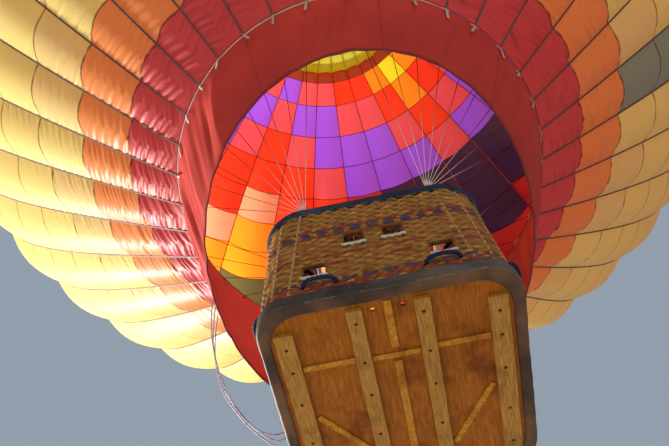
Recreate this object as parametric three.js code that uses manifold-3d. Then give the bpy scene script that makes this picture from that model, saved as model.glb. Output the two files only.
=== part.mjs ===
// Hot air balloon: wicker basket, burner on a gimbal, skirt and a bulged-gore envelope with a parachute vent.
// Millimetres. X runs across the basket, Y from its front wall (-Y) to its rear wall, +Z is up.
// The origin is under the basket's centre, level with the undersides of the floor runners.
import * as THREE from "three";
import { mergeVertices } from "three/addons/utils/BufferGeometryUtils.js";
import Module from "manifold-3d";

const GAP = 0.3; // between pieces that touch

// Basket
const BASKET_X = 1420; // over the wicker at the floor
const BASKET_Y = 1410;
const CORNER_R = 195; // at the floor
const RIM_CORNER_R = 260; // at the rim
const WALL_T = 28;
const FLARE = -6; // how far each wall stands out at the rim, from its place at the floor
const FLOOR_Z = 28.3; // underside of the floor panel
const FLOOR_T = 18;
const WALL_Z0 = FLOOR_Z + FLOOR_T + GAP;
const RIM_Z = 1070; // underside of the padded rim
const RIM_H = 72;
const RIM_REACH = 34; // half the rim's width
const BAND_OUT = 11; // edge band's outside from the floor's edge
const BAND_H = 100;
const BAND_LIP = 58;
const BAND_WINDOW_R = 185;
const DRAIN_X = 80;
const DRAIN_Y = -590;
const DRAIN_R = 13;

// Step holes through the front and rear walls: distance from the middle, height, width, height of the hole
const STEP_HOLES = [
  { x: 119, z: 645, width: 132, height: 150 },
  { x: 362, z: 347, width: 142, height: 136 },
];
const STEP_CORNER_R = 26;

// Runners and battens on the floor's underside
const RUNNER_T = 28;
const OUTER_RUNNER = { x: 572, width: 104, length: 1090, bolts: [-453, -297, -69, 226, 480] };
const INNER_RUNNER = { x: 180, width: 85, length: 1240, bolts: [-537, -278, -49, 245, 520] };
const BOLT_RECESS_R = 11;
const BOLT_RECESS_DEPTH = 9;
const BATTEN_T = 9;
const BATTEN_W = 34;

// Rope handles low on the walls
const HANDLE_SPAN = 190;
const HANDLE_REACH = 44;
const HANDLE_DROP = 8;
const ROPE_R = 13;

// Fuel cylinders
const CYLINDER_R = 132;
const CYLINDER_X = 512;
const CYLINDER_Y = 490;

// Burner frame, uprights and gimbal
const FRAME_X = 480;
const FRAME_Y = 288;
const FRAME_Z = 1800;
const FRAME_TUBE_R = 21;
const LUG_H = 100;
const UPRIGHT_R = 29;
const UPRIGHT_FOOT = [588, 583, 890];
const PIVOT_R = 10;
const PIVOT_CLEARANCE = 0.1;
const GIMBAL_X = 400;
const GIMBAL_Y = 215;
const CAN_R = 98;
const CAN_X = 150;

// Envelope: natural shape, cut off at the mouth and at the vent opening
const GORES = 36;
const NODE_PHASE = 4.62; // degrees from +X to the first gore seam
const MOUTH_R = 1725;
const MOUTH_Z = 3005;
const EQUATOR_R = 7400;
const APEX_ANGLE = 50.149; // half angle of the lower cone, in degrees
const VENT_OPEN_R = 2010;
const SHELL_T = 10;
const ROWS = 19;
const BULGE = 0.13; // a gore's bulge over its width
const PER_GORE = 2;
const VENT_R = 2330;
const VENT_DROP = 30;
const CROWN_RING_R = 140;
const TAPE_W = 24;
const TAPE_T = 5;
const TAPE_LIFT = 14;

// Skirt and mouth ring
const RING_HALF = 7;
const SKIRT_R = 1370;
const SKIRT_OVAL = 0.043; // share by which the lower edge is longer along Y than across
const SKIRT_Z = 1780; // mean height of the lower edge
const SKIRT_RISE_X = 0.128; // slope of the lower edge, up to the right
const SKIRT_RISE_Y = -0.303; // and down to the rear
const SKIRT_FOLD = 18;

// Lines
const WIRE_R = 3;
const SHACKLE_R = 24;
const LINE_R = 5;

const wasm = await Module();
wasm.setup();

const root = new THREE.Group();
root.name = "hot_air_balloon";

const FINISHES = {
  plywood: { color: 0xb07c34, roughness: 0.55, metalness: 0 },
  runner_wood: { color: 0xb9a77c, roughness: 0.8, metalness: 0 },
  batten_wood: { color: 0xc19a55, roughness: 0.7, metalness: 0 },
  rawhide: { color: 0x3b3029, roughness: 0.7, metalness: 0 },
  wicker: { color: 0xa9743a, roughness: 0.6, metalness: 0 },
  suede: { color: 0x1f2a44, roughness: 0.9, metalness: 0 },
  rope: { color: 0x24366b, roughness: 0.9, metalness: 0 },
  cylinder: { color: 0xb8bcc0, roughness: 0.35, metalness: 1 },
  sleeve: { color: 0x2b2f3a, roughness: 0.85, metalness: 0 },
  steel: { color: 0x9aa0a6, roughness: 0.35, metalness: 1 },
  white_tape: { color: 0xe9e4d8, roughness: 0.8, metalness: 0 },
  dark_tape: { color: 0x4a3a34, roughness: 0.8, metalness: 0 },
  red_fabric: { color: 0xb3202a, roughness: 0.6, metalness: 0 },
  orange_fabric: { color: 0xe8862e, roughness: 0.6, metalness: 0 },
  gold_fabric: { color: 0xe9c33a, roughness: 0.6, metalness: 0 },
  olive_fabric: { color: 0xc9b23a, roughness: 0.6, metalness: 0 },
  skirt_fabric: { color: 0x9e2430, roughness: 0.8, metalness: 0 },
  line: { color: 0xddd8e6, roughness: 0.8, metalness: 0 },
};

// Adds a named mesh with its own material.
function add(name, geometry, finish) {
  const material = new THREE.MeshStandardMaterial(FINISHES[finish]);
  material.name = `${name}_${finish}`;
  const mesh = new THREE.Mesh(geometry, material);
  mesh.name = name;
  root.add(mesh);
}

// A closed three.js geometry as a solid to join or cut, with its faces pointing out.
function solidOf(geometry) {
  const bare = geometry.clone().deleteAttribute("normal").deleteAttribute("uv");
  const merged = mergeVertices(bare, 1e-4);
  const corners = [];
  const index = merged.index.array;
  for (let i = 0; i < index.length; i += 3) {
    const [a, b, c] = [index[i], index[i + 1], index[i + 2]];
    if (a !== b && b !== c && c !== a) corners.push([a, b, c]);
  }
  const build = (triangles) =>
    new wasm.Manifold(
      new wasm.Mesh({
        numProp: 3,
        vertProperties: merged.attributes.position.array,
        triVerts: new Uint32Array(triangles.flat()),
      }),
    );
  const solid = build(corners);
  return solid.volume() > 0 ? solid : build(corners.map(([a, b, c]) => [a, c, b]));
}

// A joined or cut solid as a three.js geometry.
function geometryOf(solid) {
  const mesh = solid.getMesh();
  const stride = mesh.numProp;
  const count = mesh.vertProperties.length / stride;
  const position = new Float32Array(count * 3);
  for (let i = 0; i < count; i += 1) {
    for (let k = 0; k < 3; k += 1) position[i * 3 + k] = mesh.vertProperties[i * stride + k];
  }
  const geometry = new THREE.BufferGeometry();
  geometry.setAttribute("position", new THREE.BufferAttribute(position, 3));
  geometry.setIndex(Array.from(mesh.triVerts));
  return geometry;
}

function join(solids) {
  return solids.reduce((whole, solid) => whole.add(solid));
}

function box(x, y, z, sizeX, sizeY, sizeZ) {
  return solidOf(new THREE.BoxGeometry(sizeX, sizeY, sizeZ).translate(x, y, z));
}

// A straight round bar between two points.
function bar(from, to, r, sides) {
  const start = new THREE.Vector3(...from);
  const along = new THREE.Vector3(...to).sub(start);
  const up = new THREE.Vector3(0, 1, 0);
  const turn = new THREE.Quaternion().setFromUnitVectors(up, along.clone().normalize());
  const geometry = new THREE.CylinderGeometry(r, r, along.length(), sides);
  geometry.translate(0, along.length() / 2, 0).applyQuaternion(turn);
  return solidOf(geometry.translate(start.x, start.y, start.z));
}

// A solid turned about a vertical line, from a [radius, height] profile that starts and ends on
// the line or closes on itself.
function turned(profile, sides, x = 0, y = 0) {
  const points = profile.map(([r, z]) => new THREE.Vector2(r, z));
  if (profile[0][0] > 0) points.push(points[0].clone());
  const geometry = new THREE.LatheGeometry(points, sides).rotateX(Math.PI / 2);
  return solidOf(geometry.translate(x, y, 0));
}

// Points of a rounded rectangle, counter-clockwise, with steps per corner.
function roundedRectangle(sizeX, sizeY, r, steps) {
  const points = [];
  const quarters = [
    [1, 1],
    [-1, 1],
    [-1, -1],
    [1, -1],
  ];
  quarters.forEach(([sideX, sideY], quarter) => {
    for (let i = 0; i <= steps; i += 1) {
      const angle = (Math.PI / 2) * (quarter + i / steps);
      points.push([
        sideX * (sizeX / 2 - r) + r * Math.cos(angle),
        sideY * (sizeY / 2 - r) + r * Math.sin(angle),
      ]);
    }
  });
  return points;
}

// An upright prism on a rounded rectangle.
function roundedPrism(sizeX, sizeY, r, z0, z1, steps = 6) {
  const outline = roundedRectangle(sizeX, sizeY, r, steps).map(([x, y]) => new THREE.Vector2(x, y));
  const options = { depth: z1 - z0, bevelEnabled: false };
  return solidOf(new THREE.ExtrudeGeometry(new THREE.Shape(outline), options).translate(0, 0, z0));
}

// A round bar along a curve.
function tube(curve, r, sides, steps) {
  const outline = [];
  for (let i = 0; i < sides; i += 1) {
    const angle = (2 * Math.PI * i) / sides;
    outline.push(new THREE.Vector2(r * Math.cos(angle), r * Math.sin(angle)));
  }
  const options = { steps, extrudePath: curve, bevelEnabled: false };
  return new THREE.ExtrudeGeometry(new THREE.Shape(outline), options);
}

// A closed ring from loops of points: each section is a loop, and the last section joins the first.
function loopShell(sections) {
  const count = sections[0].length;
  const index = [];
  for (let s = 0; s < sections.length; s += 1) {
    const next = (s + 1) % sections.length;
    for (let i = 0; i < count; i += 1) {
      const j = (i + 1) % count;
      const [a, b] = [s * count + i, s * count + j];
      const [c, d] = [next * count + j, next * count + i];
      index.push(a, b, c, a, c, d);
    }
  }
  const geometry = new THREE.BufferGeometry();
  geometry.setAttribute("position", new THREE.Float32BufferAttribute(sections.flat(2), 3));
  geometry.setIndex(index);
  return geometry;
}

// How far a wall stands out from its place at the floor, at height z.
function lean(z) {
  return (FLARE * (z - WALL_Z0)) / (RIM_Z - WALL_Z0);
}

const CORNERS = [
  { name: "front_left", x: -1, y: -1 },
  { name: "front_right", x: 1, y: -1 },
  { name: "rear_right", x: 1, y: 1 },
  { name: "rear_left", x: -1, y: 1 },
];

function floorPanel() {
  let panel = roundedPrism(BASKET_X, BASKET_Y, CORNER_R, FLOOR_Z, FLOOR_Z + FLOOR_T);
  for (const side of [-1, 1]) {
    const x = side * DRAIN_X;
    panel = panel.subtract(bar([x, DRAIN_Y, 0], [x, DRAIN_Y, FLOOR_Z + 2 * FLOOR_T], DRAIN_R, 12));
  }
  return geometryOf(panel);
}

function runner({ width, length, bolts }, x) {
  let solid = box(x, 0, RUNNER_T / 2, width, length, RUNNER_T);
  for (const y of bolts) {
    solid = solid.subtract(bar([x, y, -3], [x, y, BOLT_RECESS_DEPTH], BOLT_RECESS_R, 10));
  }
  return geometryOf(solid);
}

// Battens: place of the middle, size, and turn in degrees
const BATTENS = [
  { name: "batten_centre_front", x: 0, y: -484, sizeX: 42, sizeY: 304, turn: 0 },
  { name: "batten_centre_rear", x: 0, y: 191, sizeX: 42, sizeY: 852, turn: 0 },
  { name: "batten_cross_left", x: -371, y: -291, sizeX: 288, sizeY: BATTEN_W, turn: 0 },
  { name: "batten_cross_middle", x: 0, y: -279, sizeX: 266, sizeY: 30, turn: 0 },
  { name: "batten_cross_right", x: 371, y: -291, sizeX: 288, sizeY: BATTEN_W, turn: 0 },
  { name: "batten_diagonal_left", x: -371, y: 225, sizeX: 424, sizeY: BATTEN_W, turn: 51.5 },
  { name: "batten_diagonal_right", x: 370, y: 235, sizeX: 468, sizeY: BATTEN_W, turn: -56.4 },
];

function batten({ x, y, sizeX, sizeY, turn }) {
  const geometry = new THREE.BoxGeometry(sizeX, sizeY, BATTEN_T);
  geometry.rotateZ(THREE.MathUtils.degToRad(turn));
  return geometry.translate(x, y, FLOOR_Z - GAP - BATTEN_T / 2);
}

// Edge band: up the outside of the walls, with a lip under the floor's edge.
function edgeBand() {
  const top = FLOOR_Z + BAND_H;
  const outX = BASKET_X + 2 * BAND_OUT;
  const outY = BASKET_Y + 2 * BAND_OUT;
  const outside = roundedPrism(outX, outY, CORNER_R + BAND_OUT, FLOOR_Z - 9, top);
  const inside = roundedPrism(BASKET_X + 4, BASKET_Y + 4, CORNER_R + 2, FLOOR_Z - GAP, top + 5);
  const windowX = BASKET_X - 2 * BAND_LIP;
  const windowY = BASKET_Y - 2 * BAND_LIP;
  const window = roundedPrism(windowX, windowY, BAND_WINDOW_R, 0, FLOOR_Z + 5);
  return geometryOf(outside.subtract(inside).subtract(window));
}

// Wicker walls, rounder at the corners by the rim, with step holes in the front and the rear.
function wallLoop(z, inset) {
  const grow = 2 * (lean(z) - inset);
  const share = (z - WALL_Z0) / (RIM_Z - WALL_Z0);
  const r = CORNER_R + (RIM_CORNER_R - CORNER_R) * share + lean(z) - inset;
  return roundedRectangle(BASKET_X + grow, BASKET_Y + grow, r, 6).map(([x, y]) => [x, y, z]);
}

function basketWall() {
  const top = RIM_Z - GAP;
  let wall = solidOf(
    loopShell([
      wallLoop(WALL_Z0, 0),
      wallLoop(top, 0),
      wallLoop(top, WALL_T),
      wallLoop(WALL_Z0, WALL_T),
    ]),
  );
  const reach = 160;
  for (const hole of STEP_HOLES) {
    const outline = roundedRectangle(hole.width, hole.height, STEP_CORNER_R, 3);
    const shape = new THREE.Shape(outline.map(([x, y]) => new THREE.Vector2(x, y)));
    for (const sideX of [-1, 1]) {
      for (const sideY of [-1, 1]) {
        const cutter = new THREE.ExtrudeGeometry(shape, { depth: reach, bevelEnabled: false });
        cutter.rotateX(Math.PI / 2);
        cutter.translate(sideX * hole.x, (sideY * BASKET_Y) / 2 + reach / 2, hole.z);
        wall = wall.subtract(solidOf(cutter));
      }
    }
  }
  return geometryOf(wall);
}

// Padded rim on top of the walls: an eight-sided roll, flat underneath.
function rimPad() {
  const sections = [];
  const middle = FLARE - WALL_T / 2;
  for (let i = 0; i < 8; i += 1) {
    const angle = -Math.PI / 2 + (Math.PI / 8) * (2 * i + 1);
    const swell = 1 / Math.cos(Math.PI / 8);
    const out = middle + RIM_REACH * swell * Math.cos(angle);
    const z = RIM_Z + (RIM_H / 2) * (1 + swell * Math.sin(angle));
    const loop = roundedRectangle(BASKET_X + 2 * out, BASKET_Y + 2 * out, RIM_CORNER_R + out, 6);
    sections.push(loop.map(([x, y]) => [x, y, z]));
  }
  return loopShell(sections);
}

// A rope loop that stands out of a wall and droops; turn is the wall's direction in degrees from -Y.
function ropeHandle({ along, z, turn }) {
  const half = HANDLE_SPAN / 2;
  const curve = new THREE.CatmullRomCurve3(
    [
      [-half, 0, 0],
      [-half * 0.87, -HANDLE_REACH * 0.52, -HANDLE_DROP * 0.25],
      [-half * 0.38, -HANDLE_REACH, -HANDLE_DROP * 0.85],
      [half * 0.38, -HANDLE_REACH, -HANDLE_DROP * 0.85],
      [half * 0.87, -HANDLE_REACH * 0.52, -HANDLE_DROP * 0.25],
      [half, 0, 0],
    ].map((point) => new THREE.Vector3(...point)),
  );
  const geometry = tube(curve, ROPE_R, 8, 14);
  const halfBasket = (turn % 180 === 0 ? BASKET_Y : BASKET_X) / 2;
  const face = halfBasket + Math.max(lean(z + 20), lean(z)) + 9;
  geometry.translate(along, -face, z).rotateZ(THREE.MathUtils.degToRad(turn));
  return geometry;
}
const HANDLES = [
  { name: "rope_handle_front_left", along: -334, z: 191, turn: 0 },
  { name: "rope_handle_front_right", along: 341, z: 194, turn: 0 },
  { name: "rope_handle_side_right", along: -440, z: 300, turn: 90 },
  { name: "rope_handle_side_left", along: 440, z: 230, turn: -90 },
  { name: "rope_handle_rear_left", along: 341, z: 194, turn: 180 },
  { name: "rope_handle_rear_right", along: -334, z: 191, turn: 180 },
];

// Fuel cylinder: foot ring, body, shoulder, open collar and valve.
function fuelCylinder(x, y) {
  const z = FLOOR_Z + FLOOR_T + GAP;
  const foot = CYLINDER_R - 22;
  const collar = CYLINDER_R - 52;
  const profile = [
    [0, z + 22],
    [foot - 12, z + 22],
    [foot - 12, z],
    [foot, z],
    [CYLINDER_R - 14, z + 40],
    [CYLINDER_R, z + 74],
    [CYLINDER_R, z + 640],
    [CYLINDER_R - 16, z + 690],
    [collar, z + 724],
    [collar, z + 812],
    [collar - 8, z + 812],
    [collar - 8, z + 730],
    [26, z + 738],
    [26, z + 790],
    [0, z + 790],
  ];
  return geometryOf(turned(profile, 16, x, y));
}

// Burner frame: four tubes, corner blocks with lugs, and pivot blocks for the gimbal.
function burnerFrame() {
  const pieces = CORNERS.map(({ x, y }, i) => {
    const next = CORNERS[(i + 1) % CORNERS.length];
    const from = [x * FRAME_X, y * FRAME_Y, FRAME_Z];
    return bar(from, [next.x * FRAME_X, next.y * FRAME_Y, FRAME_Z], FRAME_TUBE_R, 12);
  });
  for (const { x, y } of CORNERS) {
    pieces.push(box(x * FRAME_X, y * FRAME_Y, FRAME_Z, 84, 84, 52));
    const lug = new THREE.BoxGeometry(66, 12, LUG_H);
    const eye = new THREE.CylinderGeometry(13, 13, 40, 14).translate(0, 0, 22);
    const turn = Math.atan2(y, x);
    const plate = [lug, eye].map((part) =>
      solidOf(part.rotateZ(turn).translate(x * FRAME_X, y * FRAME_Y, FRAME_Z + LUG_H / 2)),
    );
    pieces.push(plate[0].subtract(plate[1]));
  }
  for (const side of [-1, 1]) pieces.push(box(side * FRAME_X, 0, FRAME_Z, 46, 60, 56));
  let frame = join(pieces);
  for (const side of [-1, 1]) {
    const inner = [side * (FRAME_X - 40), 0, FRAME_Z];
    const outer = [side * (FRAME_X + 20), 0, FRAME_Z];
    frame = frame.subtract(bar(inner, outer, PIVOT_R + PIVOT_CLEARANCE, 24));
  }
  return geometryOf(frame);
}

// Gimbal ring: a flat-bar rectangle that tilts about X on two pins.
function gimbalRing() {
  const barT = 16;
  const height = 44;
  const outside = box(0, 0, FRAME_Z, 2 * GIMBAL_X + barT, 2 * GIMBAL_Y + barT, height);
  const inside = box(0, 0, FRAME_Z, 2 * GIMBAL_X - barT, 2 * GIMBAL_Y - barT, 2 * height);
  let ring = outside.subtract(inside);
  for (const side of [-1, 1]) {
    const inner = [side * (GIMBAL_X + 2), 0, FRAME_Z];
    ring = ring.add(bar(inner, [side * (FRAME_X + 10), 0, FRAME_Z], PIVOT_R, 24));
    ring = ring.add(box(0, side * GIMBAL_Y, FRAME_Z, 52, 30, 52));
    const near = [0, side * (GIMBAL_Y - 22), FRAME_Z];
    const far = [0, side * (GIMBAL_Y + 22), FRAME_Z];
    ring = ring.subtract(bar(near, far, PIVOT_R + PIVOT_CLEARANCE, 24));
  }
  return geometryOf(ring);
}

// Double burner: a crossbar on two pins along Y, and a valve block, stem and open can on each side.
function burnerUnit() {
  const canLow = FRAME_Z + 70;
  const canHigh = FRAME_Z + 320;
  const pin = GIMBAL_Y + 12;
  const pieces = [
    box(0, 0, FRAME_Z, 2 * CAN_X + 90, 96, 40),
    bar([0, -pin, FRAME_Z], [0, pin, FRAME_Z], PIVOT_R, 24),
  ];
  for (const side of [-1, 1]) {
    const x = side * CAN_X;
    const wall = [
      [CAN_R - 6, canLow],
      [CAN_R, canLow],
      [CAN_R, canHigh],
      [CAN_R - 6, canHigh],
    ];
    pieces.push(turned(wall, 24, x, 0));
    pieces.push(box(x, 0, canLow + 12, 2 * CAN_R - 6, 16, 12));
    pieces.push(box(x, 0, canLow + 12, 16, 2 * CAN_R - 6, 12));
    pieces.push(bar([x, 0, FRAME_Z + 10], [x, 0, canLow + 60], 26, 14));
    pieces.push(bar([x, 0, FRAME_Z - 100], [x, 0, FRAME_Z - 10], 30, 14));
  }
  return geometryOf(join(pieces));
}

// Natural shape: with all the load along the gores, the meridian turns in proportion to its
// radius and to its height above the apex of the lower cone.
function naturalShape() {
  const step = 0.002;
  const points = [];
  let r = 0;
  let z = 0;
  let angle = THREE.MathUtils.degToRad(APEX_ANGLE);
  while (r >= 0) {
    points.push({ r, z, angle });
    angle -= 2 * r * z * step;
    r += Math.sin(angle) * step;
    z += Math.cos(angle) * step;
  }
  const scale = EQUATOR_R / Math.max(...points.map((point) => point.r));
  const first = points.findIndex((point) => point.r * scale >= MOUTH_R);
  const base = points[first].z * scale;
  return points.slice(first).map((point) => ({
    r: point.r * scale,
    z: point.z * scale - base + MOUTH_Z,
    angle: point.angle,
  }));
}
const MERIDIAN = naturalShape();

// The place on the meridian's upper part where its radius falls to the one given.
function upperPlace(radius) {
  const place = MERIDIAN.findIndex(({ r, angle }) => r <= radius && angle < 0);
  return place < 0 ? MERIDIAN.length - 1 : place;
}

function crownHeight(radius) {
  return MERIDIAN[upperPlace(radius)].z;
}

// The gores from the mouth (share 0) to the vent opening (share 1), each bulged between its seams
// except where the mouth ring gathers them.
function envelopeLoop(share, inset, lift) {
  const { r, z, angle } = MERIDIAN[Math.round(share * upperPlace(VENT_OPEN_R))];
  const width = (2 * Math.PI * r) / GORES;
  const loop = [];
  for (let i = 0; i < GORES * PER_GORE; i += 1) {
    const across = (i % PER_GORE) / PER_GORE;
    const bulge = share === 0 ? 0 : BULGE * width * Math.sin(Math.PI * across);
    const grow = bulge - inset;
    const turn = THREE.MathUtils.degToRad(NODE_PHASE + (360 * i) / (GORES * PER_GORE));
    const radius = r + grow * Math.cos(angle);
    const height = z - grow * Math.sin(angle) + lift;
    loop.push([radius * Math.cos(turn), radius * Math.sin(turn), height]);
  }
  return loop;
}

function envelopeBand({ low, high }) {
  const lowLift = low === 0 ? RING_HALF + 1 : GAP / 2;
  const rows = [];
  for (let row = low; row <= high; row += 1) rows.push(row);
  const lift = (row) => (row === low ? lowLift : row === high ? -GAP / 2 : 0);
  const outside = rows.map((row) => envelopeLoop(row / ROWS, 0, lift(row)));
  const inside = rows.map((row) => envelopeLoop(row / ROWS, SHELL_T, lift(row))).reverse();
  return loopShell([...outside, ...inside]);
}

const ENVELOPE_BANDS = [
  { name: "envelope_mouth_band", low: 0, high: 2, finish: "red_fabric" },
  { name: "envelope_lower", low: 2, high: 6, finish: "orange_fabric" },
  { name: "envelope_middle", low: 6, high: 13, finish: "gold_fabric" },
  { name: "envelope_crown", low: 13, high: ROWS, finish: "gold_fabric" },
];

// Parachute vent: a disc under the vent opening that follows the crown's shape.
function parachuteVent() {
  const radii = [0, 0.45, 0.75, 1].map((share) => share * VENT_R);
  const top = radii.map((r) => [r, crownHeight(r) - VENT_DROP]);
  const under = top.map(([r, z]) => [r, z - SHELL_T]);
  const disc = turned([...under, ...top.reverse()], GORES);
  return geometryOf(disc).rotateZ(THREE.MathUtils.degToRad(NODE_PHASE));
}

// Load tapes that cross the vent opening to the crown ring.
function crownTapes() {
  const radii = [CROWN_RING_R - 20, 1150, VENT_OPEN_R + 60];
  const ringZ = crownHeight(0) + TAPE_LIFT;
  const inner = CROWN_RING_R - 30;
  const ring = [
    [inner, ringZ - 6],
    [CROWN_RING_R, ringZ - 6],
    [CROWN_RING_R, ringZ + 12],
    [inner, ringZ + 12],
  ];
  const pieces = [turned(ring, 24)];
  const under = radii.map((r) => new THREE.Vector2(r, crownHeight(r) + TAPE_LIFT));
  const over = under.map(({ x, y }) => new THREE.Vector2(x, y + TAPE_T)).reverse();
  const options = { depth: TAPE_W, bevelEnabled: false };
  for (let i = 0; i < GORES; i += 1) {
    const strap = new THREE.ExtrudeGeometry(new THREE.Shape([...under, ...over]), options);
    strap.rotateX(Math.PI / 2).translate(0, TAPE_W / 2, 0);
    strap.rotateZ(THREE.MathUtils.degToRad(NODE_PHASE + (360 * i) / GORES));
    pieces.push(solidOf(strap));
  }
  return geometryOf(join(pieces));
}

function mouthRing() {
  const half = 10;
  const profile = [
    [MOUTH_R - half, MOUTH_Z - RING_HALF],
    [MOUTH_R + half, MOUTH_Z - RING_HALF],
    [MOUTH_R + half, MOUTH_Z + RING_HALF],
    [MOUTH_R - half, MOUTH_Z + RING_HALF],
  ];
  return geometryOf(turned(profile, GORES)).rotateZ(THREE.MathUtils.degToRad(NODE_PHASE));
}

// Skirt: from the mouth ring down to an oval lower edge that slopes down to the rear, drawn in
// between the ring's nodes.
function skirtLoop(share, inset) {
  const top = MOUTH_Z - RING_HALF - 1;
  const loop = [];
  for (let i = 0; i < 2 * GORES; i += 1) {
    const turn = THREE.MathUtils.degToRad(NODE_PHASE + (180 * i) / GORES);
    const edgeR = SKIRT_R * (1 - SKIRT_OVAL * Math.cos(2 * turn));
    const rise = edgeR * (SKIRT_RISE_X * Math.cos(turn) + SKIRT_RISE_Y * Math.sin(turn));
    const fold = (i % 2) * SKIRT_FOLD * share;
    const reach = MOUTH_R + 6 + (edgeR - MOUTH_R) * share - inset - fold;
    const z = top + (SKIRT_Z + rise - MOUTH_Z) * share;
    loop.push([reach * Math.cos(turn), reach * Math.sin(turn), z]);
  }
  return loop;
}

function skirt() {
  const shares = [0, 1 / 3, 2 / 3, 1];
  const outside = shares.map((share) => skirtLoop(share, 0)).reverse();
  return loopShell([...outside, ...shares.map((share) => skirtLoop(share, SHELL_T))]);
}

// Flying wires: from a lug's shackle to nine nodes of the mouth ring.
function flyingWires({ x, y }, quarter) {
  const shackle = [x * (FRAME_X + 10), y * (FRAME_Y + 10), FRAME_Z + LUG_H + SHACKLE_R + 4];
  const ball = new THREE.SphereGeometry(SHACKLE_R, 10, 6).rotateX(Math.PI / 2);
  const pieces = [solidOf(ball.translate(...shackle))];
  const reach = MOUTH_R - 16;
  for (let i = 0; i < GORES / 4; i += 1) {
    const turn = THREE.MathUtils.degToRad(NODE_PHASE + 90 * quarter + (360 * i) / GORES);
    const node = [reach * Math.cos(turn), reach * Math.sin(turn), MOUTH_Z - 2 * RING_HALF];
    pieces.push(bar(shackle, node, WIRE_R, 6));
  }
  return geometryOf(join(pieces));
}
// The quarter of the mouth ring, counted from +X, that each corner's wires reach
const WIRE_QUARTERS = { rear_right: 0, rear_left: 1, front_left: 2, front_right: 3 };

// Slack lines from the skirt's lower edge to the rim near the basket's rear left corner
const SLACK_LINES = {
  crown_line: [
    [-1317, 103, 1568],
    [-1315, 107, 1460],
    [-1306, 115, 1339],
    [-1291, 130, 1180],
    [-1270, 150, 1038],
    [-1248, 173, 930],
    [-1223, 196, 831],
    [-1193, 226, 735],
    [-1160, 257, 653],
    [-1128, 288, 580],
    [-1095, 320, 521],
    [-1057, 357, 473],
    [-1015, 396, 438],
    [-977, 433, 420],
    [-939, 469, 418],
    [-884, 511, 432],
    [-828, 545, 478],
    [-781, 562, 560],
    [-738, 562, 680],
    [-728, 556, 830],
    [-723, 542, 980],
    [-716, 527, 1078],
  ],
  vent_line: [
    [-1314, 162, 1550],
    [-1310, 165, 1430],
    [-1302, 171, 1300],
    [-1292, 177, 1180],
    [-1279, 186, 1066],
    [-1263, 202, 965],
    [-1241, 223, 868],
    [-1216, 249, 775],
    [-1185, 280, 690],
    [-1140, 324, 610],
    [-1088, 375, 548],
    [-1049, 414, 500],
    [-1006, 456, 463],
    [-961, 502, 443],
    [-915, 547, 436],
    [-867, 585, 450],
    [-814, 607, 510],
    [-756, 603, 620],
    [-719, 594, 770],
    [-713, 592, 920],
    [-702, 581, 1030],
    [-696, 574, 1078],
  ],
  drop_line: [
    [-1307, 218, 1534],
    [-1304, 221, 1420],
    [-1300, 224, 1300],
    [-1293, 228, 1190],
    [-1283, 233, 1080],
    [-1269, 243, 970],
    [-1249, 258, 862],
    [-1223, 282, 765],
    [-1193, 313, 682],
    [-1152, 354, 615],
    [-1105, 401, 552],
    [-1057, 451, 500],
    [-1015, 493, 470],
    [-973, 536, 447],
    [-925, 584, 430],
    [-878, 631, 420],
    [-832, 669, 428],
    [-778, 695, 475],
    [-727, 699, 560],
    [-683, 683, 690],
    [-670, 675, 850],
    [-657, 656, 1000],
    [-649, 640, 1078],
  ],
};

add("floor_panel", floorPanel(), "plywood");
add("runner_outer_left", runner(OUTER_RUNNER, -OUTER_RUNNER.x), "runner_wood");
add("runner_inner_left", runner(INNER_RUNNER, -INNER_RUNNER.x), "runner_wood");
add("runner_inner_right", runner(INNER_RUNNER, INNER_RUNNER.x), "runner_wood");
add("runner_outer_right", runner(OUTER_RUNNER, OUTER_RUNNER.x), "runner_wood");
for (const strip of BATTENS) add(strip.name, batten(strip), "batten_wood");
add("edge_band", edgeBand(), "rawhide");
add("basket_wall", basketWall(), "wicker");
add("rim_pad", rimPad(), "suede");
for (const handle of HANDLES) add(handle.name, ropeHandle(handle), "rope");
for (const { name, x, y } of CORNERS) {
  add(`fuel_cylinder_${name}`, fuelCylinder(x * CYLINDER_X, y * CYLINDER_Y), "cylinder");
}
for (const { name, x, y } of CORNERS) {
  const foot = [x * UPRIGHT_FOOT[0], y * UPRIGHT_FOOT[1], UPRIGHT_FOOT[2]];
  const head = [x * (FRAME_X + 6), y * (FRAME_Y + 6), FRAME_Z - 42];
  add(`upright_${name}`, geometryOf(bar(foot, head, UPRIGHT_R, 14)), "sleeve");
}
add("burner_frame", burnerFrame(), "steel");
add("gimbal_ring", gimbalRing(), "steel");
add("burner_unit", burnerUnit(), "steel");
for (const band of ENVELOPE_BANDS) add(band.name, envelopeBand(band), band.finish);
add("parachute_vent", parachuteVent(), "olive_fabric");
add("crown_tapes", crownTapes(), "dark_tape");
add("mouth_ring", mouthRing(), "white_tape");
add("skirt", skirt(), "skirt_fabric");
for (const corner of CORNERS) {
  add(`flying_wires_${corner.name}`, flyingWires(corner, WIRE_QUARTERS[corner.name]), "steel");
}
for (const [name, route] of Object.entries(SLACK_LINES)) {
  const curve = new THREE.CatmullRomCurve3(route.map((point) => new THREE.Vector3(...point)));
  add(name, tube(curve, LINE_R, 8, 60), "line");
}

export default root;
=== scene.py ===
"""Looks of a hot air balloon seen from below: wicker basket, burner, skirt and bulged envelope."""

import math

import bpy
import numpy as np
from mathutils import Matrix


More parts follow.
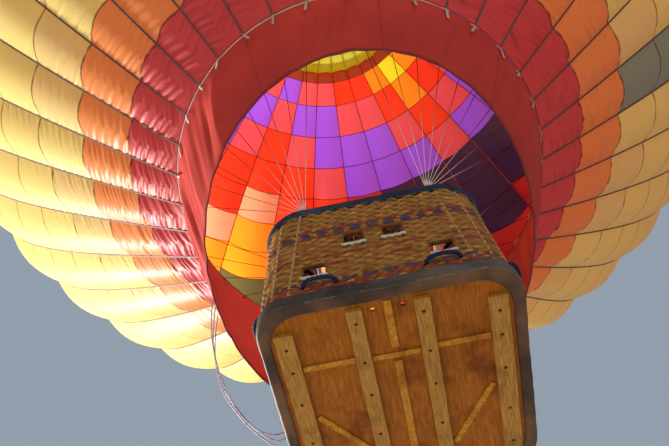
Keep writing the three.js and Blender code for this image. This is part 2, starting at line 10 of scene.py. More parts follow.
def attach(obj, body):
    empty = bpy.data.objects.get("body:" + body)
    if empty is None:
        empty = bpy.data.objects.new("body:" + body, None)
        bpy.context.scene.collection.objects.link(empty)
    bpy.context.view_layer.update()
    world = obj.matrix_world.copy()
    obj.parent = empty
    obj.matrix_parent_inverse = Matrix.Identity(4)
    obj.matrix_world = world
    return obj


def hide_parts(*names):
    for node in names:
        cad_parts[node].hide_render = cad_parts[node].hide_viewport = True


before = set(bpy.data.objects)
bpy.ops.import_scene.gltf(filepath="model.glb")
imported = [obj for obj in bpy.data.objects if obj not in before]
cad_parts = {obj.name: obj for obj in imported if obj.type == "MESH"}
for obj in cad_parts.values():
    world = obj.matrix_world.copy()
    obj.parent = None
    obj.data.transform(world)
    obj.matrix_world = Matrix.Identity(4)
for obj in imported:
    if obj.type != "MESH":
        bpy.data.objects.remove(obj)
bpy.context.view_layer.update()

# Metres, as in the frame: X across the basket, Y from front to rear, Z up.
BASKET_X, BASKET_Y = 1.420, 1.410
CORNER_R, RIM_CORNER_R = 0.195, 0.260
WALL_T = 0.028
FLARE = -0.006
FLOOR_Z = 0.0283
WALL_Z0 = 0.0466
RIM_Z, RIM_H, RIM_REACH = 1.070, 0.072, 0.034
BAND_LIP, BAND_WINDOW_R = 0.058, 0.185
FRAME_X, FRAME_Y, FRAME_Z = 0.480, 0.288, 1.800
GORES = 36
NODE_PHASE = 4.62
MOUTH_R, MOUTH_Z = 1.725, 3.005
EQUATOR_R = 7.400
APEX_ANGLE = 50.149
VENT_OPEN_R = 2.010
VENT_R, VENT_DROP = 2.330, 0.030
BULGE = 0.13
# The skirt's edge: mean radius, how oval it is, mean height, and its slope each way
SKIRT_R, SKIRT_OVAL, SKIRT_Z = 1.370, 0.043, 1.780
SKIRT_RISE_X, SKIRT_RISE_Y = 0.128, -0.303
# Step holes of the front and rear walls: distance from the middle, height above the origin, width
# and height of the opening
STEP_HOLES = [(0.119, 0.645, 0.132, 0.150), (0.362, 0.347, 0.142, 0.136)]
CORNERS = {
    "front_left": (-1, -1),
    "front_right": (1, -1),
    "rear_right": (1, 1),
    "rear_left": (-1, 1),
}

# Camera: looks up steeply from just above the stage floor
LENS = 36.3025
CAMERA_AT = (-0.0152, -2.6086, -2.8981)
CAMERA_YAW, CAMERA_RISE, CAMERA_ROLL = -6.18, 63.07, 5.73
STAGE_Z = -3.1

# Slack lines from the skirt's edge to the rim, hanging in deep curves past the basket
LINE_D = 0.010
SLACK_LINES = {
    "crown_line": [
        (-1.317, 0.103, 1.568),
        (-1.315, 0.107, 1.460),
        (-1.306, 0.115, 1.339),
        (-1.291, 0.130, 1.180),
        (-1.270, 0.150, 1.038),
        (-1.248, 0.173, 0.930),
        (-1.223, 0.196, 0.831),
        (-1.193, 0.226, 0.735),
        (-1.160, 0.257, 0.653),
        (-1.128, 0.288, 0.580),
        (-1.095, 0.320, 0.521),
        (-1.057, 0.357, 0.473),
        (-1.015, 0.396, 0.438),
        (-0.977, 0.433, 0.420),
        (-0.939, 0.469, 0.418),
        (-0.884, 0.511, 0.432),
        (-0.828, 0.545, 0.478),
        (-0.781, 0.562, 0.560),
        (-0.738, 0.562, 0.680),
        (-0.728, 0.556, 0.830),
        (-0.723, 0.542, 0.980),
        (-0.716, 0.527, 1.078),
    ],
    "vent_line": [
        (-1.314, 0.162, 1.550),
        (-1.310, 0.165, 1.430),
        (-1.302, 0.171, 1.300),
        (-1.292, 0.177, 1.180),
        (-1.279, 0.186, 1.066),
        (-1.263, 0.202, 0.965),
        (-1.241, 0.223, 0.868),
        (-1.216, 0.249, 0.775),
        (-1.185, 0.280, 0.690),
        (-1.140, 0.324, 0.610),
        (-1.088, 0.375, 0.548),
        (-1.049, 0.414, 0.500),
        (-1.006, 0.456, 0.463),
        (-0.961, 0.502, 0.443),
        (-0.915, 0.547, 0.436),
        (-0.867, 0.585, 0.450),
        (-0.814, 0.607, 0.510),
        (-0.756, 0.603, 0.620),
        (-0.719, 0.594, 0.770),
        (-0.713, 0.592, 0.920),
        (-0.702, 0.581, 1.030),
        (-0.696, 0.574, 1.078),
    ],
    "drop_line": [
        (-1.307, 0.218, 1.534),
        (-1.304, 0.221, 1.420),
        (-1.300, 0.224, 1.300),
        (-1.293, 0.228, 1.190),
        (-1.283, 0.233, 1.080),
        (-1.269, 0.243, 0.970),
        (-1.249, 0.258, 0.862),
        (-1.223, 0.282, 0.765),
        (-1.193, 0.313, 0.682),
        (-1.152, 0.354, 0.615),
        (-1.105, 0.401, 0.552),
        (-1.057, 0.451, 0.500),
        (-1.015, 0.493, 0.470),
        (-0.973, 0.536, 0.447),
        (-0.925, 0.584, 0.430),
        (-0.878, 0.631, 0.420),
        (-0.832, 0.669, 0.428),
        (-0.778, 0.695, 0.475),
        (-0.727, 0.699, 0.560),
        (-0.683, 0.683, 0.690),
        (-0.670, 0.675, 0.850),
        (-0.657, 0.656, 1.000),
        (-0.649, 0.640, 1.078),
    ],
}


# Meshes


def grid(points, wrap_u=False, wrap_v=False, u=None, v=None):
    """A patch of quads on points[row, column]: each row is joined to the next and each column to
    the next, round the ends too where it wraps. Gives vertices, faces and a UV per face corner,
    from 0 to 1 each way or from the u and v values given."""
    rows, columns = points.shape[:2]
    i = np.arange(rows if wrap_v else rows - 1)[:, None]
    j = np.arange(columns if wrap_u else columns - 1)[None, :]
    corners = [(i, j), (i, j + 1), (i + 1, j + 1), (i + 1, j)]
    faces = np.stack([(a % rows) * columns + (b % columns) for a, b in corners], axis=-1)
    u = np.linspace(0, 1, columns + wrap_u) if u is None else np.asarray(u)
    v = np.linspace(0, 1, rows + wrap_v) if v is None else np.asarray(v)
    shape = faces.shape[:2]
    uv = [np.stack(np.broadcast_arrays(u[b], v[a]), axis=-1) for a, b in corners]
    uv = np.stack([np.broadcast_to(c, (*shape, 2)) for c in uv], axis=2)
    return points.reshape(-1, 3), faces.reshape(-1, 4), uv.reshape(-1, 4, 2)


def fan(points, inward=False):
    """A round cap on a closed loop of points: a fan of triangles to the loop's middle point."""
    count = len(points)
    i = np.arange(count)
    faces = np.stack([i, (i + 1) % count, np.full(count, count)], axis=-1)
    faces = faces[:, ::-1] if inward else faces
    verts = np.vstack([points, points.mean(axis=0)])
    return verts, faces, np.zeros((count, 3, 2))


def build(name, parts, material, smooth=True, **facts):
    """One mesh object from patches of quads and triangles, with its UVs, its material and one
    number per vertex for each further name."""
    verts = np.vstack([part[0] for part in parts])
    start = np.cumsum([0] + [len(part[0]) for part in parts])[:-1]
    loops = np.concatenate([(part[1] + at).ravel() for part, at in zip(parts, start)])
    sizes = np.concatenate([np.full(len(part[1]), part[1].shape[1]) for part in parts])
    uv = np.concatenate([part[2].reshape(-1, 2) for part in parts])
    mesh = bpy.data.meshes.new(name)
    mesh.vertices.add(len(verts))
    mesh.vertices.foreach_set("co", verts.ravel())
    mesh.loops.add(len(loops))
    mesh.loops.foreach_set("vertex_index", loops)
    mesh.polygons.add(len(sizes))
    mesh.polygons.foreach_set("loop_start", np.cumsum(sizes) - sizes)
    mesh.polygons.foreach_set("use_smooth", np.full(len(sizes), smooth))
    mesh.uv_layers.new(name="UVMap").data.foreach_set("uv", uv.ravel())
    for key, values in facts.items():
        layer = mesh.attributes.new(key, "FLOAT", "POINT")
        layer.data.foreach_set("value", np.asarray(values, dtype=float).ravel())
    mesh.update(calc_edges=True)
    mesh.validate()
    mesh.materials.append(material)
    piece = bpy.data.objects.new(name, mesh)
    bpy.context.collection.objects.link(piece)
    return piece


def circle(count):
    """Angles evenly spaced round a full turn."""
    return np.linspace(0, 2 * np.pi, count, endpoint=False)


def walked(path):
    """Distance along a path of points, from 0 at its start."""
    return np.r_[0, np.cumsum(np.linalg.norm(np.diff(path, axis=0), axis=1))]


def polar(r, angle, z):
    """Points about the upright middle line from radius, angle and height."""
    return np.stack(np.broadcast_arrays(r * np.cos(angle), r * np.sin(angle), z), axis=-1)


def frames(path, closed=False):
    """Directions across a path of points: the tangent from neighbours on each side, and two
    crosswise directions built on the axis that the path leans on least."""
    path = np.asarray(path, dtype=float)
    if closed:
        tangent = np.roll(path, -1, axis=0) - np.roll(path, 1, axis=0)
    else:
        tangent = np.gradient(path, axis=0)
    tangent /= np.linalg.norm(tangent, axis=1, keepdims=True)
    axis = np.eye(3)[np.abs(tangent).mean(axis=0).argmin()]
    side = np.cross(tangent, axis)
    side /= np.linalg.norm(side, axis=1, keepdims=True)
    return path, side, np.cross(tangent, side), tangent


def tube(path, radius, sides=10, closed=False, caps=True):
    """A round tube along a path: at each point a circle of the radius there, in the plane across
    the path. Open ends are capped with a fan."""
    path, side, up, _ = frames(path, closed)
    angle = circle(sides)
    radius = np.broadcast_to(np.asarray(radius, dtype=float), len(path))[:, None, None]
    ring = np.cos(angle)[None, :, None] * side[:, None] + np.sin(angle)[None, :, None] * up[:, None]
    points = path[:, None] + radius * ring
    length = walked(path)
    length = np.r_[length, length[-1] + np.linalg.norm(path[0] - path[-1])] if closed else length
    parts = [grid(points[:, ::-1], wrap_u=True, wrap_v=closed, v=length)]
    if caps and not closed:
        parts += [fan(points[0]), fan(points[-1], inward=True)]
    return parts


def lathe(profile, at=(0, 0, 0), sides=48):
    """A solid of revolution about a vertical line: each (radius, height) of the profile, from
    bottom to top along the outside, becomes a circle."""
    profile = np.asarray(profile, dtype=float)
    angle = circle(sides)
    r, z = profile[:, 0, None], profile[:, 1, None]
    return [grid(polar(r, angle, z) + np.asarray(at), wrap_u=True)]


def raised(profile, out, up):
    """A lathe's profile moved outwards and up."""
    return [(out + r, up + z) for r, z in profile]


def bell(value, middle, wide):
    """A bell curve: 1 in the middle, falling away within about the width on both sides."""
    return np.exp(-(((value - middle) / wide) ** 2))


def rounded_rectangle(size_x, size_y, r, per_side, per_corner):
    """A closed rectangle with round corners, counter-clockwise from the right side's middle: four
    straight runs and four quarter circles, evenly stepped. Gives points and outward normals."""
    points, normals = [], []
    for quarter in range(4):
        turn = quarter * np.pi / 2
        half_out, half_along = (size_x / 2, size_y / 2)[:: 1 if quarter % 2 == 0 else -1]
        along = np.linspace(-(half_along - r), half_along - r, per_side, endpoint=False)
        line = np.stack([np.full(per_side, half_out), along], axis=-1)
        angle = np.linspace(0, np.pi / 2, per_corner, endpoint=False)
        arc = np.stack([np.cos(angle), np.sin(angle)], axis=-1)
        bend = np.array([half_out - r, half_along - r]) + r * arc
        flat = np.broadcast_to([1.0, 0.0], line.shape)
        turned = np.array([[np.cos(turn), np.sin(turn)], [-np.sin(turn), np.cos(turn)]])
        points.append(np.vstack([line, bend]) @ turned)
        normals.append(np.vstack([flat, arc]) @ turned)
    return np.vstack(points), np.vstack(normals)


# Materials


def colour(text):
    """A colour written as sRGB hex, as the linear numbers that a shader takes."""
    value = np.array([int(text[i : i + 2], 16) for i in (1, 3, 5)]) / 255
    linear = np.where(value <= 0.04045, value / 12.92, ((value + 0.055) / 1.055) ** 2.4)
    return (*linear.tolist(), 1.0)


def node(tree, kind, inputs=None, **settings):
    """Adds a shader node. A socket in inputs is linked and any other value is set on the input."""
    made = tree.nodes.new("ShaderNode" + kind)
    for key, value in settings.items():
        setattr(made, key, value)
    for key, value in (inputs or {}).items():
        if isinstance(value, bpy.types.NodeSocket):
            tree.links.new(value, made.inputs[key])
        else:
            made.inputs[key].default_value = value
    return made


def maths(tree, operation, a, b=0.0, c=0.0):
    return node(tree, "Math", {0: a, 1: b, 2: c}, operation=operation).outputs[0]


def times(tree, a, b):
    return maths(tree, "MULTIPLY", a, b)


def away_from(tree, value, middle):
    """How far a value is from the middle, on either side."""
    return maths(tree, "ABSOLUTE", maths(tree, "SUBTRACT", value, middle))


def off_middle(tree, value):
    """How far a value is from half way between two whole numbers: 0.5 at each whole number."""
    return away_from(tree, maths(tree, "FRACT", value), 0.5)


def waves(tree, value, angle):
    """Waves along a value, which turns through the angle for each 1 of it."""
    return maths(tree, "SINE", times(tree, value, angle))


def blend(tree, factor, a, b, mode="MIX"):
    mixed = node(tree, "Mix", {0: factor, 6: a, 7: b}, data_type="RGBA", blend_type=mode)
    return mixed.outputs[2]


def step(tree, value, low, high):
    """A smooth step from 0 to 1 as the value goes from low to high."""
    inputs = {"Value": value, "From Min": low, "From Max": high}
    return node(tree, "MapRange", inputs, interpolation_type="SMOOTHSTEP").outputs[0]


def noise(tree, vector, scale, detail=3.0, roughness=0.5):
    inputs = {"Vector": vector, "Scale": scale, "Detail": detail, "Roughness": roughness}
    return node(tree, "TexNoise", inputs).outputs[0]


def material(name, **sockets):
    """A new material with a Principled shader. Gives the material, its tree and the shader."""
    made = bpy.data.materials.new(name)
    made.use_nodes = True
    tree = made.node_tree
    shader = tree.nodes["Principled BSDF"]
    for key, value in sockets.items():
        shader.inputs[key.replace("_", " ")].default_value = value
    return made, tree, shader


def place(tree, stretch=(1, 1, 1)):
    """Object coordinates in metres, stretched."""
    at = node(tree, "TexCoord").outputs["Object"]
    return node(tree, "Mapping", {"Vector": at, "Scale": stretch}).outputs[0]


def uv_of(tree):
    """The piece's own UV, as u and v."""
    at = node(tree, "UVMap").outputs[0]
    split = node(tree, "SeparateXYZ", {0: at})
    return split.outputs[0], split.outputs[1]


def bump(tree, shader, height, distance, strength=1.0):
    inputs = {"Height": height, "Distance": distance, "Strength": strength}
    tree.links.new(node(tree, "Bump", inputs).outputs[0], shader.inputs["Normal"])


def paint(tree, shader, value, socket="Base Color"):
    tree.links.new(value, shader.inputs[socket])


def ramp(tree, value, stops, constant=False):
    """A colour ramp over (place, hex) stops."""
    made = node(tree, "ValToRGB", {0: value})
    band = made.color_ramp
    band.interpolation = "CONSTANT" if constant else "LINEAR"
    while len(band.elements) < len(stops):
        band.elements.new(1.0)
    for element, (at, text) in zip(band.elements, stops):
        element.position = at
        element.color = colour(text)
    return made.outputs[0]


def glow_through(made, tree, shader, tint, share):
    """Lets light through thin cloth: part of the surface is translucent in the cloth's colour."""
    through = node(tree, "BsdfTranslucent", {"Color": tint}).outputs[0]
    both = node(tree, "MixShader", {0: share, 1: shader.outputs[0], 2: through}).outputs[0]
    output = next(n for n in tree.nodes if n.bl_idname == "ShaderNodeOutputMaterial")
    tree.links.new(both, output.inputs[0])
    return made


# Envelope cloth colours, from the chevrons' bright middle outwards, then the lower rows
PANEL_COLOURS = [
    "#ead71c",
    "#f9830a",
    "#ee2a08",
    "#e04452",
    "#9a48e0",
    # Painted shade: this dark purple stands for the purple cloth where it lies in shade
    "#360a40",
    "#f0906a",
    "#8e2204",
    "#c4151c",
    "#c8bc70",
    "#c4b070",
    "#6f7f74",
    "#ece480",
    "#c87a40",
    "#ac343e",
    "#4c4620",
]
# The sixth colour is painted shade: purple cloth drawn dark where it is in shade
YELLOW, ORANGE, SCARLET, CORAL, PURPLE, SHADED_PURPLE, PEACH, OVERLAP = range(8)
RED, GOLD, SAND, TEAL, SEAT, RUST, BRICK, OLIVE = range(8, 16)


def panel_cloth(name):
    """Coated nylon of one gore: a colour per panel from the piece's own attribute, darker stitched
    seams between panels and along the tapes, a painted orange glow along the tapes where the cloth is
    the purple in painted shade, faint dust, and light that comes through."""
    made, tree, shader = material(name, Roughness=0.48, Specular_IOR_Level=0.3)
    index = node(tree, "Attribute", attribute_name="panel").outputs["Fac"]
    count = len(PANEL_COLOURS)
    place_on_ramp = maths(tree, "DIVIDE", maths(tree, "ADD", index, 0.5), count)
    stops = [(i / count, text) for i, text in enumerate(PANEL_COLOURS)]
    cloth = ramp(tree, place_on_ramp, stops, constant=True)
    u, v = uv_of(tree)
    # v counts panels, so the seams are where it is a whole number
    seam = step(tree, off_middle(tree, v), 0.478, 0.492)
    edge = step(tree, away_from(tree, u, 0.5), 0.484, 0.495)
    line = maths(tree, "MAXIMUM", seam, edge)
    dust = noise(tree, place(tree, (0.5, 0.5, 0.5)), 1.7)
    cloth = blend(tree, times(tree, dust, 0.05), cloth, colour("#e8d8b0"))
    dark = blend(tree, 1.0, cloth, colour("#6a3428"), "MULTIPLY")
    # Painted glow: an orange line along the tapes on the shaded purple panels, for light showing
    # through
    shaded_purple = step(tree, away_from(tree, index, SHADED_PURPLE), 0.4, 0.2)
    seam_line_and_glow = blend(tree, times(tree, shaded_purple, edge), dark, colour("#e8701e"))
    cloth = blend(tree, times(tree, line, 0.75), cloth, seam_line_and_glow)
    paint(tree, shader, cloth)
    # Fine puckers along the weave, drawn about 30 mm apart where the real ones are closer
    bump(tree, shader, noise(tree, place(tree, (1, 1, 1)), 22.0), 0.004, 0.5)
    return glow_through(made, tree, shader, cloth, 0.55)


# Envelope


def natural_shape():
    """The meridian of an envelope whose load is all along the gores: walking up in short steps,
    its angle from upright falls in proportion to radius times height. Scaled to the equator's
    radius and cut where it reaches the mouth's. Gives radius, height, angle and distance."""
    step_length = 0.002
    r, z, angle = 0.0, 0.0, math.radians(APEX_ANGLE)
    walk = []
    while r >= 0:
        walk.append((r, z, angle))
        angle -= 2 * r * z * step_length
        r += math.sin(angle) * step_length
        z += math.cos(angle) * step_length
    walk = np.array(walk)
    scale = EQUATOR_R / walk[:, 0].max()
    first = int(np.argmax(walk[:, 0] * scale >= MOUTH_R))
    walk = walk[first:]
    r, z = walk[:, 0] * scale, (walk[:, 1] - walk[0, 1]) * scale + MOUTH_Z
    return r, z, walk[:, 2], np.arange(len(walk)) * step_length * scale


NATURAL_R, NATURAL_Z, NATURAL_ANGLE, NATURAL_S = natural_shape()
CROWN_S = NATURAL_S[-1]
UPPER = NATURAL_R.argmax()
VENT_OPEN_S = float(np.interp(-VENT_OPEN_R, -NATURAL_R[UPPER:], NATURAL_S[UPPER:]))
# Panel seams, as distances from the crown: the overlap ring, a half panel, seven panels of
# 0.89 m, twelve of 0.86 m, and two of 0.8 m and 0.7 m next to the mouth
SEAMS = np.r_[2.560, 3.212 + 0.8923 * np.arange(7), 8.566 + 0.861 * np.arange(1, 13), 19.7]
SEAMS_S = (CROWN_S - SEAMS)[::-1]


# The gore where the chevrons start, seen through the mouth right of the burner
BRIGHT_GORE = 5


def meridian(s):
    """Radius, height and angle of the meridian at a distance from the mouth."""
    return [np.interp(s, NATURAL_S, value) for value in (NATURAL_R, NATURAL_Z, NATURAL_ANGLE)]


def crown_height(r):
    """Height of the meridian's upper part where its radius is r."""
    return np.interp(-np.asarray(r), -NATURAL_R[UPPER:], NATURAL_Z[UPPER:])


def panel_colours(gore, row):
    """Which cloth each panel is cut from. Row 0 is next to the vent. Above the middle, chevrons
    repeat every 12 gores: from a bright gore outwards each panel is one colour further for each row
    down and about half a colour for each gore away. Near the bright gore the colours end in a dark
    purple, which is painted shade for the purple cloth in shade, and then red; between two of them
    they run back through scarlet and peach to orange, with two olive panels half way. Below the
    middle it is gold with some sand panels and one teal gore, then a row of rust and a row of brick
    red at the mouth."""
    away = abs((gore - BRIGHT_GORE + 6) % 12 - 6)
    down = (0 if away == 0 else math.ceil((away + 1) / 2)) + row - 1
    # Rows below the purple get the dark purple, painted shade for purple cloth in shade
    near = np.where(row <= 4, np.minimum(down, PURPLE), SHADED_PURPLE)
    near = np.where(row >= 8 - away, RED, near)
    near = np.where(row >= 11 - away, ORANGE, near)
    back = np.where(down <= PURPLE, down, np.maximum(8 - down + (away == 4), SCARLET))
    peach = 5 + (6 - away)
    back = np.where(row == peach, PEACH, np.where(row > peach, ORANGE, back))
    back = np.where((row > 7) & (row < 10) & (away == 6), OLIVE, back)
    upper = near if away <= 3 else back
    upper = np.where(row == 0, OVERLAP, upper)
    last = len(SEAMS)
    lower = np.where(row == last, BRICK, np.where(row == last - 1, RUST, GOLD))
    lower = np.where((row == last - 2) & (gore % 3 > 0), SAND, lower)
    lower = np.where((row < last - 1) & (gore == 35), TEAL, lower)
    return np.where(row <= 12 - (away > 3), upper, lower)


def wrinkles(distance, s, seed):
    """Puckers across a gore, next to its tapes: creases 70 mm to 0.19 m apart along the gore, each
    the size of a sine so that they are sharp, added up so that they come and go, and slanting
    towards the mouth away from the tape. They are nothing at the tape itself and fade within 0.4 m
    of it, and are deepest in the lowest two metres."""
    rng = np.random.default_rng(seed)
    along = s + 0.55 * distance
    creases = 0.0
    for length in (0.070, 0.092, 0.125, 0.190):
        phase = rng.uniform(0, 2 * np.pi, 3)
        sway = 1.1 * np.sin(s * rng.uniform(0.8, 2.0) + phase[1])
        fading = 0.6 + 0.4 * np.sin(s * rng.uniform(2.0, 4.0) + phase[2])
        crease = np.abs(np.sin(along * np.pi / length + phase[0] + sway / 2))
        creases = creases + fading * (2 * crease**0.8 - 1.3)
    low = np.exp(-s / 2.0)
    grip = (1 - np.exp(-distance / 0.02)) * np.exp(-distance / (0.09 + 0.40 * low))
    return creases * grip * (0.0026 + 0.0105 * low)


def gore_surface(gore):
    """One gore between two seams: the meridian at each height, bulged between the seams like half
    a sine wave, which dies away over the last metre above the mouth, plus the tape's puckers. Gives
    points, where each column is across the gore, the panel count, distance and width per row."""
    knots = np.r_[0.0, SEAMS_S, VENT_OPEN_S]
    fine = [84, 84, 60, 40] + [20] * (len(knots) - 5)
    spans = zip(knots[:-1], knots[1:], fine)
    spans = [np.linspace(a, b, count, endpoint=False) for a, b, count in spans]
    s = np.r_[np.concatenate(spans), knots[-1]][:, None]
    across = 0.5 - 0.5 * np.cos(np.linspace(0, np.pi, 21))[None, :]
    r, z, angle = meridian(s)
    width = 2 * np.pi * r / GORES
    fill = np.clip(s / 0.95, 0, 1)
    bulge = BULGE * width * np.sin(np.pi * across) * fill * (2 - fill)
    gap = width * np.minimum(across, 1 - across)
    pucker = wrinkles(gap, s + np.where(across < 0.5, 0, 0.13), 7 + gore)
    grow = bulge + pucker * np.clip(s / 0.15, 0, 1) - 0.002
    turn = np.radians(NODE_PHASE + 360 * (gore + across) / GORES)
    reach = r + grow * np.cos(angle)
    v = np.interp(s[:, 0], knots, np.arange(len(knots)))
    return polar(reach, turn, z - grow * np.sin(angle)), across[0], v, s[:, 0], width[:, 0]


def envelope():
    """36 gores, each one cut and sewn of panels."""
    bands = ["envelope_mouth_band", "envelope_lower", "envelope_middle", "envelope_crown"]
    for gore in range(GORES):
        points, u, v, s, width = gore_surface(gore)
        patch = grid(points, u=u, v=v)
        knots = len(SEAMS_S) + 1
        row = knots - 1 - np.floor(np.minimum(v[:-1], knots - 1e-6)).astype(int)
        cloth = panel_cloth(f"coated_nylon_{gore:02d}")
        piece = build(f"gore_{gore:02d}", [patch], cloth)
        panel = panel_colours(gore, row)
        panel[CROWN_S - s[:-1] < VENT_R - 0.04] = SEAT
        face = np.repeat(panel, len(u) - 1)
        layer = piece.data.attributes.new("panel", "FLOAT", "FACE")
        layer.data.foreach_set("value", face.astype(float))
        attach(piece, "balloon")
        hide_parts(*bands)


def load_tapes():
    """Flat webbing up each seam from the mouth ring over the gores' joint and across the vent
    opening to the crown ring: a thin rectangle carried along the meridian."""
    cloth, tree, shader = material("load_tape_webbing", Roughness=0.75)
    # Dark brown woven polyester, with a weave drawn at 8 mm where the real one is 1 mm
    _, v = uv_of(tree)
    weave = waves(tree, v, 780.0)
    worn = noise(tree, place(tree), 3.0)
    paint(tree, shader, blend(tree, worn, colour("#2e1a16"), colour("#5a3a30")))
    bump(tree, shader, weave, 0.001, 0.6)
    s = np.r_[np.linspace(0.0, VENT_OPEN_S, 190), np.linspace(VENT_OPEN_S, CROWN_S - 0.12, 24)[1:]]
    r, z, angle = meridian(s)
    bare = s > VENT_OPEN_S - 0.06
    lift = np.where(bare, 0.0145, 0.003)
    parts = []
    for i in range(GORES):
        turn = math.radians(NODE_PHASE + 360 * i / GORES)
        section = []
        for side, out in ((-1, 0), (1, 0), (1, 0.0045), (-1, 0.0045)):
            reach = r + (lift + out) * np.cos(angle)
            height = z - (lift + out) * np.sin(angle)
            half = side * np.where(bare, 0.015, 0.009)
            x = reach * math.cos(turn) - half * math.sin(turn)
            y = reach * math.sin(turn) + half * math.cos(turn)
            section.append(np.stack([x, y, height], axis=-1))
        loop = np.stack(section, axis=1)
        parts.append(grid(loop, wrap_u=True, v=s))
    parts += lathe(CROWN_RING, sides=64)
    piece = build("load_tapes", parts, cloth, smooth=False)
    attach(piece, "balloon")
    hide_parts("crown_tapes")


TOP_Z = float(NATURAL_Z[-1])
CROWN_RING = [
    (0.112, TOP_Z + 0.010),
    (0.139, TOP_Z + 0.010),
    (0.139, TOP_Z + 0.025),
    (0.112, TOP_Z + 0.025),
    (0.112, TOP_Z + 0.010),
]


def parachute():
    """The vent's disc: the crown's own curve, a hand's width lower, hanging between radial seams
    in shallow scallops that deepen towards a scalloped edge."""
    cloth, tree, shader = material("coated_nylon_vent", Roughness=0.5)
    # Olive yellow nylon with a brown red edge; seams are darker where v, the share of a gore, is a
    # whole number
    u, v = uv_of(tree)
    seam = step(tree, off_middle(tree, v), 0.46, 0.49)
    hem = step(tree, u, 0.972, 0.976)
    tone = blend(tree, noise(tree, place(tree), 1.2), colour("#c6c044"), colour("#a8a02a"))
    tone = blend(tree, times(tree, seam, 0.6), tone, colour("#7a7418"))
    tone = blend(tree, times(tree, hem, 0.95), tone, colour("#b03a12"))
    paint(tree, shader, tone)
    per_gore = 10
    turn = np.arange(GORES * per_gore) / per_gore
    share = np.sin(np.linspace(0.0, np.pi / 2, 72))
    share[0] = 0.004
    across = turn - np.floor(turn)
    scallop = np.sin(np.pi * across)[None, :]
    ripple = np.sin(2 * np.pi * (turn / GORES * 5))[None, :] * 0.012
    r = VENT_R * share[:, None] * (1 - 0.016 * scallop * share[:, None] ** 6)
    dip = 0.042 * scallop * share[:, None] ** 0.7 * np.clip(share[:, None] * 5, 0, 1)
    z = crown_height(r) - VENT_DROP - 0.004 + dip * 0.5 - 0.012 + ripple * share[:, None]
    z = np.minimum(z, crown_height(r) - VENT_DROP + 0.001)
    angle = np.radians(NODE_PHASE + 360 * turn / GORES)[None, :]
    points = polar(r, angle, z)
    v_of = np.arange(GORES * per_gore + 1) / per_gore
    verts, faces, uv = grid(points, wrap_u=True, u=v_of, v=share)
    tip = fan(points[0], inward=True)
    piece = build("vent_cloth", [(verts, faces[:, ::-1], uv[:, ::-1, ::-1]), tip], cloth)
    glow_through(cloth, tree, shader, tone, 0.6)
    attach(piece, "vent")
    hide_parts("parachute_vent")


# Skirt, ring and wires


def skirt_point(share, turn, inset=0.0):
    """The skirt's cone: radius goes from the ring's to the oval edge's, height from the ring's to
    the sloping edge's, in proportion to the share of the way down."""
    edge = SKIRT_R * (1 - SKIRT_OVAL * np.cos(2 * turn))
    rise = edge * (SKIRT_RISE_X * np.cos(turn) + SKIRT_RISE_Y * np.sin(turn))
    reach = MOUTH_R + 0.006 + (edge - MOUTH_R) * share - inset
    z = MOUTH_Z - 0.002 + (SKIRT_Z + rise - MOUTH_Z - 0.006) * share
    return reach, z


def skirt():
    """Skirt cloth: the cone, drawn in between the ring's nodes by up to 5 mm at the edge, with
    slanting drape folds that start at the nodes and die out downwards, and sines of three lengths
    for the long folds, which are deepest half way down."""
    cloth, tree, shader = material("flameproof_skirt_cloth", Roughness=0.8, Specular_IOR_Level=0.2)
    # Brick red aramid twill; stains and fading by noise, twill drawn at 6 mm where it is 0.5 mm
    u, v = uv_of(tree)
    at = place(tree)
    tone = blend(tree, noise(tree, at, 1.4, 4.0), colour("#881e1c"), colour("#b4382a"))
    soot = times(tree, noise(tree, at, 4.0, 5.0), step(tree, v, 0.35, 1.0))
    tone = blend(tree, times(tree, soot, 0.25), tone, colour("#5a1414"))
    hem = step(tree, v, 0.962, 0.968)
    tone = blend(tree, times(tree, hem, 0.55), tone, colour("#4a0e10"))
    seam = step(tree, off_middle(tree, u), 0.493, 0.498)
    tone = blend(tree, times(tree, seam, 0.5), tone, colour("#5a1216"))
    paint(tree, shader, tone)
    bump(tree, shader, noise(tree, place(tree, (160, 160, 160)), 1.0), 0.0012, 0.5)
    per_gore = 14
    columns = GORES * per_gore
    turn = np.radians(NODE_PHASE) + circle(columns)[None, :]
    share = np.linspace(0.0, 1.0, 60)[:, None]
    across = (np.arange(columns) / per_gore % 1)[None, :]
    rng = np.random.default_rng(11)
    phase = rng.uniform(0, 2 * np.pi, (3, 1))
    strength = 0.6 + 0.4 * np.sin(turn * 3 + 1.0) * np.sin(turn * 7 + 0.4)
    slant = turn * GORES + 5.0 * share * np.sin(turn * 4 + phase[0])
    drape = 0.012 * np.sin(slant) * np.exp(-share * 1.6) * np.clip(share * 7, 0, 1)
    folds = 0.026 * np.sin(turn * 15 + 2.5 * share + phase[1]) * np.sin(np.pi * share) ** 0.7
    folds += 0.016 * np.sin(turn * 37 + 4.5 * share + phase[2]) * np.sin(np.pi * share) ** 0.8
    folds += 0.006 * np.sin(turn * 83 + 9.0 * share + phase[0]) * np.sin(np.pi * share)
    draw = 0.005 * np.sin(np.pi * across) ** 2 * share
    reach, z = skirt_point(share, turn, 0.005)
    reach = reach - draw + strength * (drape + folds)
    points = polar(reach, turn, z)
    # One upright seam every fourth gore, where u is a whole number
    u_of = np.arange(columns + 1) / (4 * per_gore)
    patch = grid(points[::-1], wrap_u=True, u=u_of, v=share[::-1, 0])
    piece = build("skirt_cloth", [patch], cloth)
    glow_through(cloth, tree, shader, tone, 0.16)
    tape, tree, shader = material("skirt_hem_tape", Roughness=0.8)
    # Dark red bound hem over a cord, with stitch dimples about 9 mm apart
    _, along = uv_of(tree)
    stitch = waves(tree, along, 700.0)
    worn = noise(tree, place(tree), 5.0)
    paint(tree, shader, blend(tree, worn, colour("#4c0d12"), colour("#6d1a1e")))
    bump(tree, shader, stitch, 0.001, 0.7)
    hem = build("skirt_hem", tube(points[-1], 0.007, 8, closed=True), tape)
    for part in (piece, hem):
        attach(part, "balloon")
        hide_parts("skirt")


